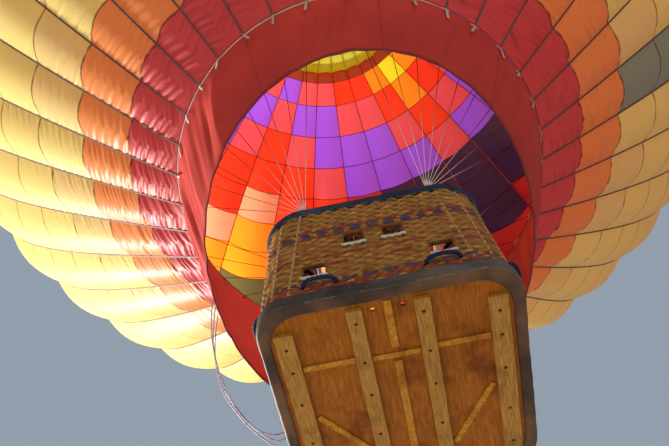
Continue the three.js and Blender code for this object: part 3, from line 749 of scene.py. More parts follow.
def mouth_ring():
    """The ring's padded tape, an oval section swept round the mouth, with a hanging strap at each
    gore's node: a flat band from over the ring down the skirt's outside, each with its own lean."""
    cloth, tree, shader = material("mouth_tape", Roughness=0.8)
    # Beige webbing, smoked in places, with a weave drawn at 9 mm. On the right the skirt's red cloth
    # laps over it between the nodes, which lie where 36 v is a whole number
    _, v = uv_of(tree)
    weave = waves(tree, v, 700.0)
    smoke = noise(tree, place(tree), 4.0, 4.0)
    tone = blend(tree, smoke, colour("#6e5a4c"), colour("#bca890"))
    node_gap = off_middle(tree, times(tree, v, GORES))
    side = maths(tree, "COSINE", times(tree, v, 2 * math.pi))
    lap = times(tree, step(tree, node_gap, 0.40, 0.34), step(tree, side, 0.35, 0.55))
    tone = blend(tree, lap, tone, colour("#8c1f22"))
    paint(tree, shader, tone)
    bump(tree, shader, weave, 0.001, 0.6)
    turn = circle(GORES * 8) + math.radians(NODE_PHASE)
    around = circle(12)
    pinch = 1 - 0.18 * np.cos(turn * GORES)[:, None] ** 8
    reach = MOUTH_R + 0.0095 * pinch * np.cos(around)
    z = MOUTH_Z + 0.0068 * pinch * np.sin(around)
    ring = np.stack([reach * np.cos(turn)[:, None], reach * np.sin(turn)[:, None], z], -1)
    parts = [grid(ring, wrap_u=True, wrap_v=True)]
    stops, skirt_deep = 13, 1.2
    drop = np.linspace(0, 1, stops)
    for i in range(GORES):
        a = math.radians(NODE_PHASE + 360 * i / GORES)
        long = 0.150 + 0.030 * math.sin(i * 1.3)
        tilt = 0.05 * math.sin(i * 2.4)
        reach, _ = skirt_point(drop * long / skirt_deep, np.full(stops, a))
        reach = reach + 0.010 + 0.008 * np.sin(drop * 3.0) * abs(math.sin(i * 1.7))
        half = 0.010 + 0.003 * drop**2
        height = MOUTH_Z + 0.004 - long * drop
        rows = []
        for across, thick in ((-1, 0), (1, 0), (1, -0.003), (-1, -0.003)):
            x, y = reach + thick, across * half + tilt * drop**1.5
            place_x = x * math.cos(a) - y * math.sin(a)
            place_y = x * math.sin(a) + y * math.cos(a)
            rows.append(np.stack([place_x, place_y, height], axis=-1))
        tab = np.stack(rows, axis=1)
        parts += [grid(tab, wrap_u=True, v=np.zeros(stops)), fan(tab[0], inward=True), fan(tab[-1])]
    piece = build("mouth_ring_tape", parts, cloth)
    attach(piece, "balloon")
    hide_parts("mouth_ring")


def flying_wires():
    """From each corner's shackle nine wire ropes to the mouth ring, each with a swaged sleeve at
    both ends and an oval link at the ring; the shackle is a bow with its pin through the lug."""
    steel, tree, shader = material("wire_rope", Roughness=0.45, Metallic=0.6)
    # Stainless wire rope, bright near the shackles and sooty from half way up (v is the distance
    # along it); the lay is drawn at 12 mm where the real one is 5 mm
    u, v = uv_of(tree)
    lay = maths(tree, "ADD", times(tree, v, 520.0), times(tree, u, 2 * math.pi))
    lay = maths(tree, "SINE", lay)
    tone = blend(tree, noise(tree, place(tree), 6.0), colour("#b8ac9c"), colour("#dcd2c4"))
    paint(tree, shader, blend(tree, step(tree, v, 0.35, 0.95), tone, colour("#3a2420")))
    bump(tree, shader, lay, 0.0008, 0.8)
    quarters = {"rear_right": 0, "rear_left": 1, "front_left": 2, "front_right": 3}
    wire_r, sleeve_r, link_r, bow_r, pin_r = 0.003, 0.0052, 0.0025, 0.005, 0.006
    for corner, (x, y) in CORNERS.items():
        eye = np.array([x * (FRAME_X + 0.010), y * (FRAME_Y + 0.010), FRAME_Z + 0.128])
        bend = np.linspace(-0.25 * np.pi, 1.25 * np.pi, 25)
        across = np.array([-y, x, 0.0]) / math.hypot(x, y)
        up = np.array([0.0, 0.0, 1.0])
        bow = eye + 0.021 * (np.cos(bend)[:, None] * across + np.sin(bend)[:, None] * up)
        pin_z = np.array([x * FRAME_X, y * FRAME_Y, FRAME_Z + 0.072])
        bow = np.vstack([pin_z + 0.017 * across, bow, pin_z - 0.017 * across])
        parts = tube(bow, bow_r, 10)
        parts += tube([pin_z - 0.026 * across, pin_z, pin_z + 0.028 * across], pin_r, 10)
        for i in range(9):
            turn = math.radians(NODE_PHASE + 90 * quarters[corner] + 360 * i / GORES)
            reach = MOUTH_R - 0.016
            top = np.array([reach * math.cos(turn), reach * math.sin(turn), MOUTH_Z - 0.014])
            along = (top - eye) / np.linalg.norm(top - eye)
            foot = eye + 0.016 * along
            share = np.linspace(0, 1, 24)[:, None]
            wire = foot + (top - foot) * share - 0.004 * np.sin(np.pi * share) * up
            parts += tube(wire, wire_r, 6)
            for near, far in ((0.03, 0.07), (-0.09, -0.05)):
                base = foot if near > 0 else top
                sleeve = base + along * np.linspace(near, far, 5)[:, None]
                parts += tube(sleeve, [wire_r, sleeve_r, sleeve_r, sleeve_r, wire_r], 8)
            loop = circle(20)[:, None]
            side = np.array([-math.sin(turn), math.cos(turn), 0.0])
            link = top + 0.009 * np.cos(loop) * side + 0.020 * np.sin(loop) * up
            parts += tube(link, link_r, 6, closed=True)
        piece = build(f"wires_{corner}", parts, steel)
        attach(piece, "balloon")
        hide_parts(f"flying_wires_{corner}")


# Basket

WEAVE_STAKE = 0.062
WEAVE_ROW = 0.030


def lean(z):
    return FLARE * (z - WALL_Z0) / (RIM_Z - WALL_Z0)


def wall_outline(z, per_side=108, per_corner=18):
    """The wall's outline at each height, a mix of the outline at the floor and the rounder one at
    the rim, with its outward normals and the distance along the one at the floor."""
    low, normals = rounded_rectangle(BASKET_X, BASKET_Y, CORNER_R, per_side, per_corner)
    size = (BASKET_X + 2 * FLARE, BASKET_Y + 2 * FLARE, RIM_CORNER_R)
    high, _ = rounded_rectangle(*size, per_side, per_corner)
    share = ((z - WALL_Z0) / (RIM_Z - WALL_Z0))[:, None, None]
    gaps = np.linalg.norm(np.roll(low, -1, axis=0) - low, axis=1)
    return low + (high - low) * share, normals, np.r_[0, np.cumsum(gaps)]


def spread(tree, u, across, v, up):
    """A vector for noise on a surface: u and v, each times its own number."""
    inputs = {0: times(tree, u, across), 1: times(tree, v, up)}
    return node(tree, "CombineXYZ", inputs).outputs[0]


def wicker_material():
    made, tree, shader = material("willow_and_cane", Roughness=0.6, Specular_IOR_Level=0.2)
    # Varnished cane: tone runs along each rod, so noise is stretched in u (metres along the wall)
    # and cut across in v (rows); painted shade in the lines between rods and in the weave's recesses,
    # coloured rows where the attribute says
    u, v = uv_of(tree)
    row = maths(tree, "FLOOR", v)
    tone = noise(tree, spread(tree, u, 16.0, row, 3.7), 1.0, 4.0, 0.6)
    grain = noise(tree, spread(tree, u, 40.0, v, 9.0), 1.0, 3.0, 0.6)
    rod = off_middle(tree, times(tree, v, 3.0))
    stops = [(0.22, "#5c340e"), (0.42, "#8a581c"), (0.60, "#a8722e"), (0.82, "#cea05c")]
    cane = ramp(tree, tone, stops)
    cane = blend(tree, times(tree, step(tree, grain, 0.45, 0.75), 0.5), cane, colour("#4e2c0e"))
    # Painted shade: dark lines between the three rods of each row
    cane = blend(tree, times(tree, step(tree, rod, 0.28, 0.48), 0.7), cane, colour("#2c1606"))
    tint = node(tree, "Attribute", attribute_name="tint").outputs["Fac"]
    is_red = times(tree, step(tree, tint, 0.5, 0.6), step(tree, tint, 1.5, 1.4))
    is_navy = times(tree, step(tree, tint, 1.5, 1.6), step(tree, tint, 2.5, 2.4))
    is_green = step(tree, tint, 2.5, 2.6)
    third = maths(tree, "FLOOR", times(tree, maths(tree, "FRACT", v), 3.0))
    is_red = times(tree, is_red, step(tree, third, 1.6, 1.4))
    cane = blend(tree, times(tree, is_red, 0.85), cane, colour("#761216"))
    cane = blend(tree, times(tree, is_navy, 0.88), cane, colour("#1c2a4a"))
    cane = blend(tree, times(tree, is_green, 0.85), cane, colour("#1c3634"))
    # Painted shade: darker where the woven surface lies deeper, in the recesses between rods
    depth = node(tree, "Attribute", attribute_name="depth").outputs["Fac"]
    gap = maths(tree, "SUBTRACT", 1.0, step(tree, depth, -0.008, 0.004))
    cane = blend(tree, times(tree, gap, 0.9), cane, colour("#160a04"))
    paint(tree, shader, cane)
    bump(tree, shader, grain, 0.0015, 0.5)
    return made


def weave(u, z, phase=0.0):
    """How far the woven surface stands out at distance u along the wall and height z: each row's
    rods go over one stake and under the next, half a wave out of step with their neighbours, and
    are round across. Rows also ripple up and down, in step with the stakes. The weave is loose by
    the rim and at the foot and tighter round the step holes."""
    loose = 0.62 + 0.38 * np.clip((np.abs(z - 0.47) - 0.22) / 0.10, 0, 1)
    ripple = 0.0095 * np.sin(2 * np.pi * u / (2 * WEAVE_STAKE) + 2.1 * np.sin(z * 9.0 + phase))
    ripple = ripple * loose + 0.004 * np.sin(u * 9.0 + 4 * z + phase)
    height = (z + ripple) / WEAVE_ROW
    row = np.floor(height)
    over = np.sin(np.pi * (u / WEAVE_STAKE) + np.pi * row + 0.9 * np.sin(row * 12.9))
    roundness = np.sqrt(np.clip(1 - (2 * (height - row) - 1) ** 2, 0, 1))
    return loose * ((0.0065 * over + 0.004) * roundness - 0.009 * (1 - roundness)), row


def band_tint(row, u):
    """Which rows are dyed: two red rows below the rim with evenly spaced navy and green patches
    between them, two broken red rows half way up, and navy dashes and two red rows above the edge
    band. A sum of two sines along the wall breaks the red rows into dashes of uneven length."""
    patch = np.sin(2 * np.pi * u / 0.112 + 0.5 * np.sin(u * 5.0) + 0.5 * row)
    broken = np.sin(u * 15.0 + 2.0 * row) + 0.6 * np.sin(u * 34.0 + row)
    red = (row == 27) | (row == 24) | (row == 6) | (row == 5)
    red |= (row == 16) & (broken > -0.9)
    red |= (row == 13) & (broken > 0.1)
    navy = ((row == 26) | (row == 25)) & (patch > -0.25)
    navy |= (row == 7) & (patch > -0.75)
    green = navy & (np.sin(u * 21.0 + 0.7) > 0.6)
    return np.where(green, 3.0, np.where(navy, 2.0, np.where(red, 1.0, 0.0)))


def in_hole(x, z):
    """Whether a point of the front or rear wall is inside a step hole."""
    inside = np.zeros(np.broadcast(x, z).shape, dtype=bool)
    for hole_x, hole_z, wide, high in STEP_HOLES:
        across, up = np.abs(np.abs(x) - hole_x), np.abs(z - hole_z)
        inside |= (across < wide / 2) & (up < high / 2)
    return inside


def wicker_walls():
    cloth = wicker_material()
    for side, inset in (("outer", 0.0065), ("inner", WALL_T - 0.008)):
        sign = 1 if side == "outer" else -1
        finer = 7 if side == "outer" else 4
        z = np.arange(WALL_Z0 + 0.002, RIM_Z + 0.004, WEAVE_ROW / finer)
        points, normals, length = wall_outline(z)
        count = len(normals)
        out, row = weave(length[None, :-1], z[:, None], 0.0 if side == "outer" else 1.5)
        tint = band_tint(row, length[None, :-1])
        stand = sign * out - inset
        plan = points + normals[None] * stand[..., None]
        verts = np.dstack([plan, np.broadcast_to(z[:, None], out.shape)])
        v_of = z / WEAVE_ROW
        all_verts, faces, uv = grid(verts, wrap_u=True, u=length, v=v_of)
        keep = np.ones(len(faces), dtype=bool)
        centre = all_verts[faces].mean(axis=1)
        flat = np.abs(centre[:, 1]) > BASKET_Y / 2 - 0.06
        keep &= ~(flat & in_hole(centre[:, 0], centre[:, 2]))
        quarter = np.tile(np.arange(count) * 4 // count, len(z) - 1)
        for index, name in enumerate(("right", "rear", "left", "front")):
            chosen = keep & (quarter == index)
            used, new = np.unique(faces[chosen], return_inverse=True)
            part = (all_verts[used], new.reshape(-1, 4), uv[chosen])
            if sign < 0:
                part = (part[0], part[1][:, ::-1], part[2][:, ::-1])
            facts = {"tint": tint.ravel()[used], "depth": out.ravel()[used]}
            piece = build(f"wicker_{side}_{name}", [part], cloth, **facts)
            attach(piece, "balloon")
            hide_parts("basket_wall")


def wound(name, dark, light, between, rough, blotch):
    """Cane or cord wound round in turns, drawn 9 mm apart, with a darker line between them."""
    made, tree, shader = material(name, Roughness=rough, Specular_IOR_Level=0.2)
    turns = waves(tree, uv_of(tree)[1], 700.0)
    tone = blend(tree, noise(tree, place(tree), blotch, 4.0), colour(dark), colour(light))
    paint(tree, shader, blend(tree, step(tree, turns, 0.0, -0.9), tone, colour(between)))
    bump(tree, shader, turns, 0.002, 0.9)
    return made


def step_hole(hole_x, hole_z, wide, high, side):
    """The cane round one step hole, an oval rope swept round the opening through the wall's
    thickness, and the pale sill below it, a tube along a shallow arc with small waves."""
    loop, normal = rounded_rectangle(wide - 0.008, high - 0.008, 0.024, 16, 8)
    around = circle(14)
    out = 0.0045 * np.cos(around)[None, :]
    deep = 0.0155 * np.sin(around)[None, :]
    x = hole_x + loop[:, 0, None] + normal[:, 0, None] * out
    height = hole_z + loop[:, 1, None] + normal[:, 1, None] * out
    wall = BASKET_Y / 2 + lean(height) - WALL_T / 2 + 0.002
    ring = np.stack([x, side * (wall + deep), height], -1)
    length = walked(loop)
    length = np.r_[length, length[-1] + 0.01]
    edge = grid(ring, wrap_u=True, wrap_v=True, v=length)
    if side > 0:
        edge = (edge[0], edge[1][:, ::-1], edge[2][:, ::-1])
    t = np.linspace(-1, 1, 30)
    x = hole_x + t * (wide / 2 + 0.006)
    low = hole_z - high / 2 - 0.003 - 0.006 * np.cos(t * 1.6) + 0.003 * np.sin(t * 11)
    y = np.full(30, side * (BASKET_Y / 2 + 0.004))
    return edge, tube(np.c_[x, y, low], 0.0095, 10)


def step_holes():
    """The edges and sills of the eight step holes, four in the front wall and four in the rear."""
    edges, sills = [], []
    for hole_x, hole_z, wide, high in STEP_HOLES:
        for side_x in (-1, 1):
            for side_y in (-1, 1):
                edge, sill = step_hole(side_x * hole_x, hole_z, wide, high, side_y)
                edges.append(edge)
                sills += sill
    # Honey cane laid over the edges, and an off-white plaited cord with grey dirt for the sills
    brown = wound("brown_cane_edge", "#6e4216", "#a87438", "#3a200a", 0.65, 14.0)
    braid = wound("white_braid", "#b8a68c", "#f0e6d4", "#8c7c64", 0.75, 18.0)
    for piece in (build("step_hole_edges", edges, brown), build("step_hole_sills", sills, braid)):
        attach(piece, "balloon")
        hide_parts("basket_wall")


def corner_stakes():
    """Stout stakes at the corners: tubes up the wall that sway in and out of the weave, sunk deeper
    into it on the right."""
    cane, tree, shader = material("cane_binding", Roughness=0.6, Specular_IOR_Level=0.25)
    # Pale split cane wrapped round: bands about 9 mm apart across the binding
    u, v = uv_of(tree)
    wrap = maths(tree, "ADD", times(tree, v, 700.0), times(tree, u, 2 * math.pi))
    wrap = maths(tree, "SINE", wrap)
    tone = noise(tree, place(tree), 14.0, 4.0)
    tone = blend(tree, tone, colour("#7a5428"), colour("#ccaa70"))
    tone = blend(tree, times(tree, step(tree, wrap, 0.2, -0.9), 0.5), tone, colour("#5e3c1c"))
    paint(tree, shader, tone)
    bump(tree, shader, wrap, 0.002, 0.9)
    stakes = []
    z = np.linspace(WALL_Z0 + 0.01, RIM_Z + 0.01, 240)
    per_side = per_corner = 6
    points, normals, _ = wall_outline(z, per_side, per_corner)
    count = 4 * (per_side + per_corner)
    for quarter in range(4):
        for i in range(0, per_corner + 1, 2):
            index = (quarter * (per_side + per_corner) + per_side + i) % count
            sway = np.pi * z / WEAVE_ROW + np.pi * (i // 2) + 1.6 * np.sin(z * 5 + i)
            sunk = 0.0068 if points[0, index, 0] < 0 else 0.0125
            path = points[:, index] + normals[index] * (0.0045 * np.sin(sway) - sunk)[:, None]
            stakes += tube(np.c_[path, z], 0.0085, 8)
    piece = build("corner_stakes", stakes, cane)
    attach(piece, "balloon")
    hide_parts("basket_wall")


def rim():
    """Padded rim: an oval roll round the basket's top, flatter underneath, with a seam and soft
    puckers; and a lacing cord that zigzags below it."""
    suede, tree, shader = material("rim_suede", Roughness=0.85, Specular_IOR_Level=0.25)
    # Dark navy suede, worn slate grey in patches, fine nap
    at = place(tree)
    worn = noise(tree, at, 5.0, 5.0)
    tone = blend(tree, step(tree, worn, 0.4, 0.8), colour("#151a2a"), colour("#33384c"))
    grubby = times(tree, step(tree, noise(tree, at, 16.0), 0.6, 0.8), 0.5)
    tone = blend(tree, grubby, tone, colour("#0e1120"))
    paint(tree, shader, tone)
    bump(tree, shader, noise(tree, at, 180.0), 0.001, 0.6)
    size = (BASKET_X + 2 * FLARE, BASKET_Y + 2 * FLARE, RIM_CORNER_R)
    points, normals = rounded_rectangle(*size, 90, 22)
    length = walked(points)[:, None]
    around = circle(28)[None, :]
    pucker = 1 + 0.012 * np.sin(length * 95) * np.clip(-np.sin(around), 0, 1)
    pucker = pucker + 0.010 * np.sin(length * 21 + 2 * np.sin(length * 4))
    wide = np.sign(np.cos(around)) * np.abs(np.cos(around)) ** 0.8 * (RIM_REACH + 0.0005) * pucker
    high = np.sign(np.sin(around)) * np.abs(np.sin(around)) ** 0.85 * RIM_H / 2 * pucker
    seam = 0.0035 * bell(around, 5.3, 0.12)
    stand = wide + seam - WALL_T / 2
    plan = points[:, None] + normals[:, None] * stand[..., None]
    roll = np.concatenate([plan, (RIM_Z + RIM_H / 2 + high)[..., None]], axis=-1)
    patch = grid(roll, wrap_u=True, wrap_v=True, v=np.r_[length[:, 0], length[-1, 0] + 0.01])
    pad = build("rim_roll", [(patch[0], patch[1][:, ::-1], patch[2][:, ::-1])], suede)
    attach(pad, "balloon")
    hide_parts("rim_pad")
    lace, tree, shader = material("lacing_cord", Roughness=0.75)
    # Waxed pale cord with a fine twist
    twist = waves(tree, uv_of(tree)[1], 1400.0)
    dirt = noise(tree, place(tree), 20.0)
    paint(tree, shader, blend(tree, dirt, colour("#443e32"), colour("#7c745f")))
    bump(tree, shader, twist, 0.0006, 0.7)
    count = 4 * 112
    swing = np.abs((np.arange(count) / 4) % 2 - 1)
    stand = 0.0025 + 0.012 * (1 - swing) * 0.4
    index = np.arange(count) % len(points)
    plan = points[index] + normals[index] * stand[:, None]
    path = np.c_[plan, RIM_Z - 0.014 + 0.030 * swing]
    cord = build("rim_lacing", tube(path, 0.0022, 6, closed=True), lace)
    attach(cord, "balloon")


def edge_band():
    """Rawhide band: a thin section swept round the basket's foot, up the outside of the wall and
    turned in under the floor's edge, dented and wavy along its top."""
    hide, tree, shader = material("rawhide", Roughness=0.65, Specular_IOR_Level=0.25)
    # Dark worn hide: grey-brown on the outside, warmer below, scraped pale along the corner
    at = place(tree)
    big, small = noise(tree, at, 3.5, 5.0), noise(tree, at, 30.0, 5.0, 0.65)
    tone = ramp(tree, big, [(0.3, "#1e1a18"), (0.5, "#352f2a"), (0.72, "#52483f")])
    tone = blend(tree, times(tree, step(tree, small, 0.55, 0.75), 0.6), tone, colour("#6e5c48"))
    u, _ = uv_of(tree)
    scrape = step(tree, away_from(tree, u, 0.40), 0.05, 0.0)
    scrape = times(tree, scrape, step(tree, small, 0.4, 0.6))
    tone = blend(tree, times(tree, scrape, 0.3), tone, colour("#a98f6c"))
    below = step(tree, u, 0.42, 0.30)
    lip = blend(tree, step(tree, big, 0.35, 0.65), colour("#2c1a0c"), colour("#5c3a18"))
    tone = blend(tree, times(tree, below, 0.82), tone, lip)
    paint(tree, shader, tone)
    bump(tree, shader, blend(tree, 0.5, big, small), 0.006, 0.6)
    points, normals = rounded_rectangle(BASKET_X, BASKET_Y, CORNER_R, 110, 26)
    size = (BASKET_X - 2 * BAND_LIP, BASKET_Y - 2 * BAND_LIP, BAND_WINDOW_R)
    window, _ = rounded_rectangle(*size, 110, 26)
    length = walked(points)[:, None]
    low = FLOOR_Z - 0.0085
    bend = np.linspace(0, np.pi / 2, 9)
    outside = [(-0.0575, low + 0.002), (-0.054, low), (-0.036, low), (-0.018, low)]
    outside += [*zip(-0.006 + 0.016 * np.sin(bend), low + 0.018 * (1 - np.cos(bend)))]
    outside += [(0.0105, low + 0.05), (0.010, low + 0.078), (0.0095, low + 0.100), (0.006, low + 0.107)]
    inside = [(0.003, low + 0.106), (0.0028, low + 0.05), (0.0028, low + 0.010)]
    inside += [(-0.001, FLOOR_Z - 0.0006), (-0.030, FLOOR_Z - 0.0006), (-0.0575, FLOOR_Z - 0.0006)]
    section = np.array(outside + inside)
    share = np.linspace(0, 1, len(section), endpoint=False)
    wave = 0.0016 * np.sin(length * 9 + 2 * np.sin(length * 3.1)) + 0.001 * np.sin(length * 47)
    top = np.clip((section[None, :, 1] - low) / 0.107, 0, 1)
    stand = section[None, :, 0] + wave * (section[None, :, 0] > 0.004)
    z = section[None, :, 1] + 2.2 * wave * top**3
    under = np.clip(-section[:, 0] / BAND_LIP, 0, 1)[None, :, None]
    plan = points[:, None] + normals[:, None] * np.maximum(stand, 0)[..., None]
    plan = plan + (window - points)[:, None] * under
    band = np.concatenate([plan, z[..., None]], axis=-1)
    share = np.r_[share, 1.0]
    v_of = np.r_[length[:, 0], length[-1, 0] + 0.01]
    patch = grid(band, wrap_u=True, wrap_v=True, u=share, v=v_of)
    piece = build("rawhide_band", [patch], hide)
    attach(piece, "balloon")
    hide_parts("edge_band")


# Each handle's place along its wall, its height, and the turn of the wall that it is in
HANDLE_SPAN, HANDLE_REACH, HANDLE_DROP, ROPE_R = 0.190, 0.044, 0.008, 0.013
HANDLES = {
    "front_left": (-0.334, 0.191, 0),
    "front_right": (0.341, 0.194, 0),
    "side_right": (-0.440, 0.300, 90),
    "side_left": (0.440, 0.230, -90),
    "rear_left": (0.341, 0.194, 180),
    "rear_right": (-0.334, 0.191, 180),
}


def rope_handles():
    """Rope loops through the wall: half an ellipse that stands out and droops, of three strands
    twisted round each other at a constant pitch."""
    rope, tree, shader = material("navy_rope", Roughness=0.85, Specular_IOR_Level=0.2)
    # Navy polyester rope with worn fibres, bundles drawn at 4 mm
    fibre = noise(tree, place(tree, (1, 1, 1)), 260.0, 2.0)
    tone = blend(tree, noise(tree, place(tree), 9.0), colour("#0a1022"), colour("#1a2340"))
    paint(tree, shader, blend(tree, times(tree, fibre, 0.2), tone, colour("#434f70")))
    bump(tree, shader, fibre, 0.001, 0.7)
    for name, (along, z, turn) in HANDLES.items():
        t = np.linspace(0, 1, 64)
        bend = np.pi * t
        x = -HANDLE_SPAN / 2 * np.cos(bend)
        out = HANDLE_REACH * np.sin(bend) ** 0.85 - 0.012 * np.cos(bend) ** 6
        drop = HANDLE_DROP * 0.85 * np.sin(bend) ** 1.2
        half = (BASKET_Y if turn % 180 == 0 else BASKET_X) / 2
        face = half + max(lean(z + 0.02), lean(z)) + 0.004
        route = np.c_[along + x, -face - out, z - drop]
        angle = math.radians(turn)
        c, s = math.cos(angle), math.sin(angle)
        route = route @ np.array([[c, s, 0], [-s, c, 0], [0, 0, 1]])
        length = walked(route)
        path, side, up, _ = frames(route)
        parts = []
        for strand in range(3):
            phase = 2 * np.pi * (length / 0.075 + strand / 3)[:, None]
            twist = np.cos(phase) * side + np.sin(phase) * up
            parts += tube(path + 0.47 * ROPE_R * twist, 0.53 * ROPE_R, 10)
        piece = build(f"rope_{name}", parts, rope)
        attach(piece, "balloon")
        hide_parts(f"rope_handle_{name}")


def slab(size, at, turn=0.0, corner=0.006, edge=0.003, per_side=4):
    """A block with round corners and softened edges: rounded rectangles stacked upwards, drawn in
    by a quarter circle at the bottom and the top, with a cap on each end."""
    bend = np.linspace(0, np.pi / 2, 4)
    inset = np.r_[edge * (1 - np.sin(bend)), edge * (1 - np.cos(bend))]
    half = size[2] / 2
    z = np.r_[-half + edge * (1 - np.cos(bend)), half - edge * (1 - np.sin(bend))]
    points, normals = rounded_rectangle(size[0], size[1], corner, per_side, 5)
    c, s = math.cos(turn), math.sin(turn)
    rows = points[None] - normals[None] * inset[:, None, None]
    rows = rows @ np.array([[c, s], [-s, c]])
    level = np.broadcast_to(z[:, None, None], (*rows.shape[:2], 1))
    rows = np.concatenate([rows, level], axis=-1) + np.asarray(at)
    return [grid(rows, wrap_u=True), fan(rows[0], inward=True), fan(rows[-1])]


def bar(start, end, radius, sides=20, bevel=0.002):
    """A straight round bar with softened ends: circles along the line, smaller at both ends."""
    start, end = np.asarray(start, dtype=float), np.asarray(end, dtype=float)
    length = np.linalg.norm(end - start)
    at = np.array([0, bevel, *np.linspace(bevel, length - bevel, 6)[1:-1], length - bevel, length])
    path = start + (end - start) * (at / length)[:, None]
    return tube(path, np.r_[radius - bevel, np.full(6, radius), radius - bevel], sides)


def brushed(name, dark, light, scale=(3, 3, 90), rough=0.34):
    """Brushed or drawn metal: fine streaks along one direction, with handling marks."""
    made, tree, shader = material(name, Metallic=1.0)
    streak = noise(tree, place(tree, scale), 4.0, 4.0)
    marks = noise(tree, place(tree), 7.0, 4.0)
    paint(tree, shader, blend(tree, streak, colour(dark), colour(light)))
    tone = maths(tree, "ADD", times(tree, marks, 0.22), rough - 0.11)
    paint(tree, shader, tone, "Roughness")
    bump(tree, shader, streak, 0.0003, 0.5)
    return made


def burner_frame():
    """Four stainless tubes between machined corner blocks with lugs, and pivot bearings half way
    along the sides, all round bars and softened blocks."""
    steel = brushed("stainless_tube", "#7f8286", "#b9bcbe")
    parts = []
    order = list(CORNERS.values())
    for (x0, y0), (x1, y1) in zip(order, order[1:] + order[:1]):
        start = (x0 * FRAME_X, y0 * FRAME_Y, FRAME_Z)
        parts += bar(start, (x1 * FRAME_X, y1 * FRAME_Y, FRAME_Z), 0.021, 28)
    for x, y in order:
        at = np.array([x * FRAME_X, y * FRAME_Y, FRAME_Z])
        parts += slab((0.084, 0.084, 0.052), at, corner=0.012, edge=0.005)
        turn = math.atan2(y, x)
        along = np.array([math.cos(turn), math.sin(turn), 0])
        across = np.array([-math.sin(turn), math.cos(turn), 0])
        # Lug plate: an arch outline, with an eye, through the plate's thickness
        bend = np.linspace(0, np.pi, 25)
        arch = np.c_[0.033 * np.cos(bend), 0.067 + 0.033 * np.sin(bend)]
        foot = np.linspace(-0.033, 0.033, 24, endpoint=False)[1:]
        outline = np.vstack([arch, np.c_[foot, np.zeros(23)]])
        spin = np.arctan2(outline[:, 1] - 0.072, outline[:, 0])
        eye = np.c_[0.0132 * np.cos(spin), 0.072 + 0.0132 * np.sin(spin)]
        rounded = outline * [0.985, 0.99]
        loops = [(eye, 1), (rounded, 1), (outline, 0.75), (outline, -0.75), (rounded, -1), (eye, -1)]
        faces = []
        for loop, side in loops:
            faces.append(loop[:, :1] * across + side * 0.006 * along + loop[:, 1:] * [0, 0, 1])
        plate = np.stack(faces) + at
        verts, quads, uv = grid(plate, wrap_u=True, wrap_v=True)
        parts.append((verts, quads[:, ::-1], uv[:, ::-1]))
        for side in (-1, 1):
            bolt = at + 0.022 * side * across
            parts += bar(bolt + [0, 0, 0.024], bolt + [0, 0, 0.034], 0.008, 6)
            parts += bar(bolt - [0, 0, 0.034], bolt - [0, 0, 0.024], 0.008, 6)
    for side in (-1, 1):
        parts += slab((0.046, 0.060, 0.056), (side * FRAME_X, 0, FRAME_Z), corner=0.008, edge=0.004)
        for end in (-1, 1):
            bolt = np.array([side * FRAME_X, end * 0.020, FRAME_Z])
            parts += bar(bolt + [0, 0, 0.026], bolt + [0, 0, 0.034], 0.006, 6)
    piece = build("burner_frame_tubes", parts, steel)
    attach(piece, "balloon")
    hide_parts("burner_frame")


GIMBAL_X, GIMBAL_Y = 0.400, 0.215


def gimbal():
    """Gimbal ring: flat bar carried round a rectangle, with a pivot pin at each end and bearing
    blocks at the middle of the long sides."""
    steel = brushed("gimbal_steel", "#6d7074", "#a6a9ac", (90, 3, 3))
    rows = []
    section = [(0.008, -0.021), (0.008, 0.021), (0.007, 0.022), (-0.007, 0.022)]
    section += [(-out, -z) for out, z in section]
    for out, z in section:
        loop, _ = rounded_rectangle(2 * (GIMBAL_X + out), 2 * (GIMBAL_Y + out), 0.010 + out, 10, 6)
        rows.append(np.c_[loop, np.full(len(loop), FRAME_Z + z)])
    parts = [grid(np.stack(rows), wrap_u=True, wrap_v=True)]
    for side in (-1, 1):
        start = (side * (GIMBAL_X + 0.004), 0, FRAME_Z)
        parts += bar(start, (side * (FRAME_X + 0.010), 0, FRAME_Z), 0.010, 24)
        parts += bar(start, (side * (GIMBAL_X + 0.016), 0, FRAME_Z), 0.019, 24)
        collar = (side * (GIMBAL_X + 0.07), 0, FRAME_Z)
        parts += bar(collar, (side * (GIMBAL_X + 0.078), 0, FRAME_Z), 0.016, 24)
        parts += slab((0.052, 0.030, 0.052), (0, side * GIMBAL_Y, FRAME_Z), corner=0.006)
    piece = build("gimbal_flat_bar", parts, steel)
    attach(piece, "gimbal")
    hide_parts("gimbal_ring")


CAN_R, CAN_X = 0.098, 0.150


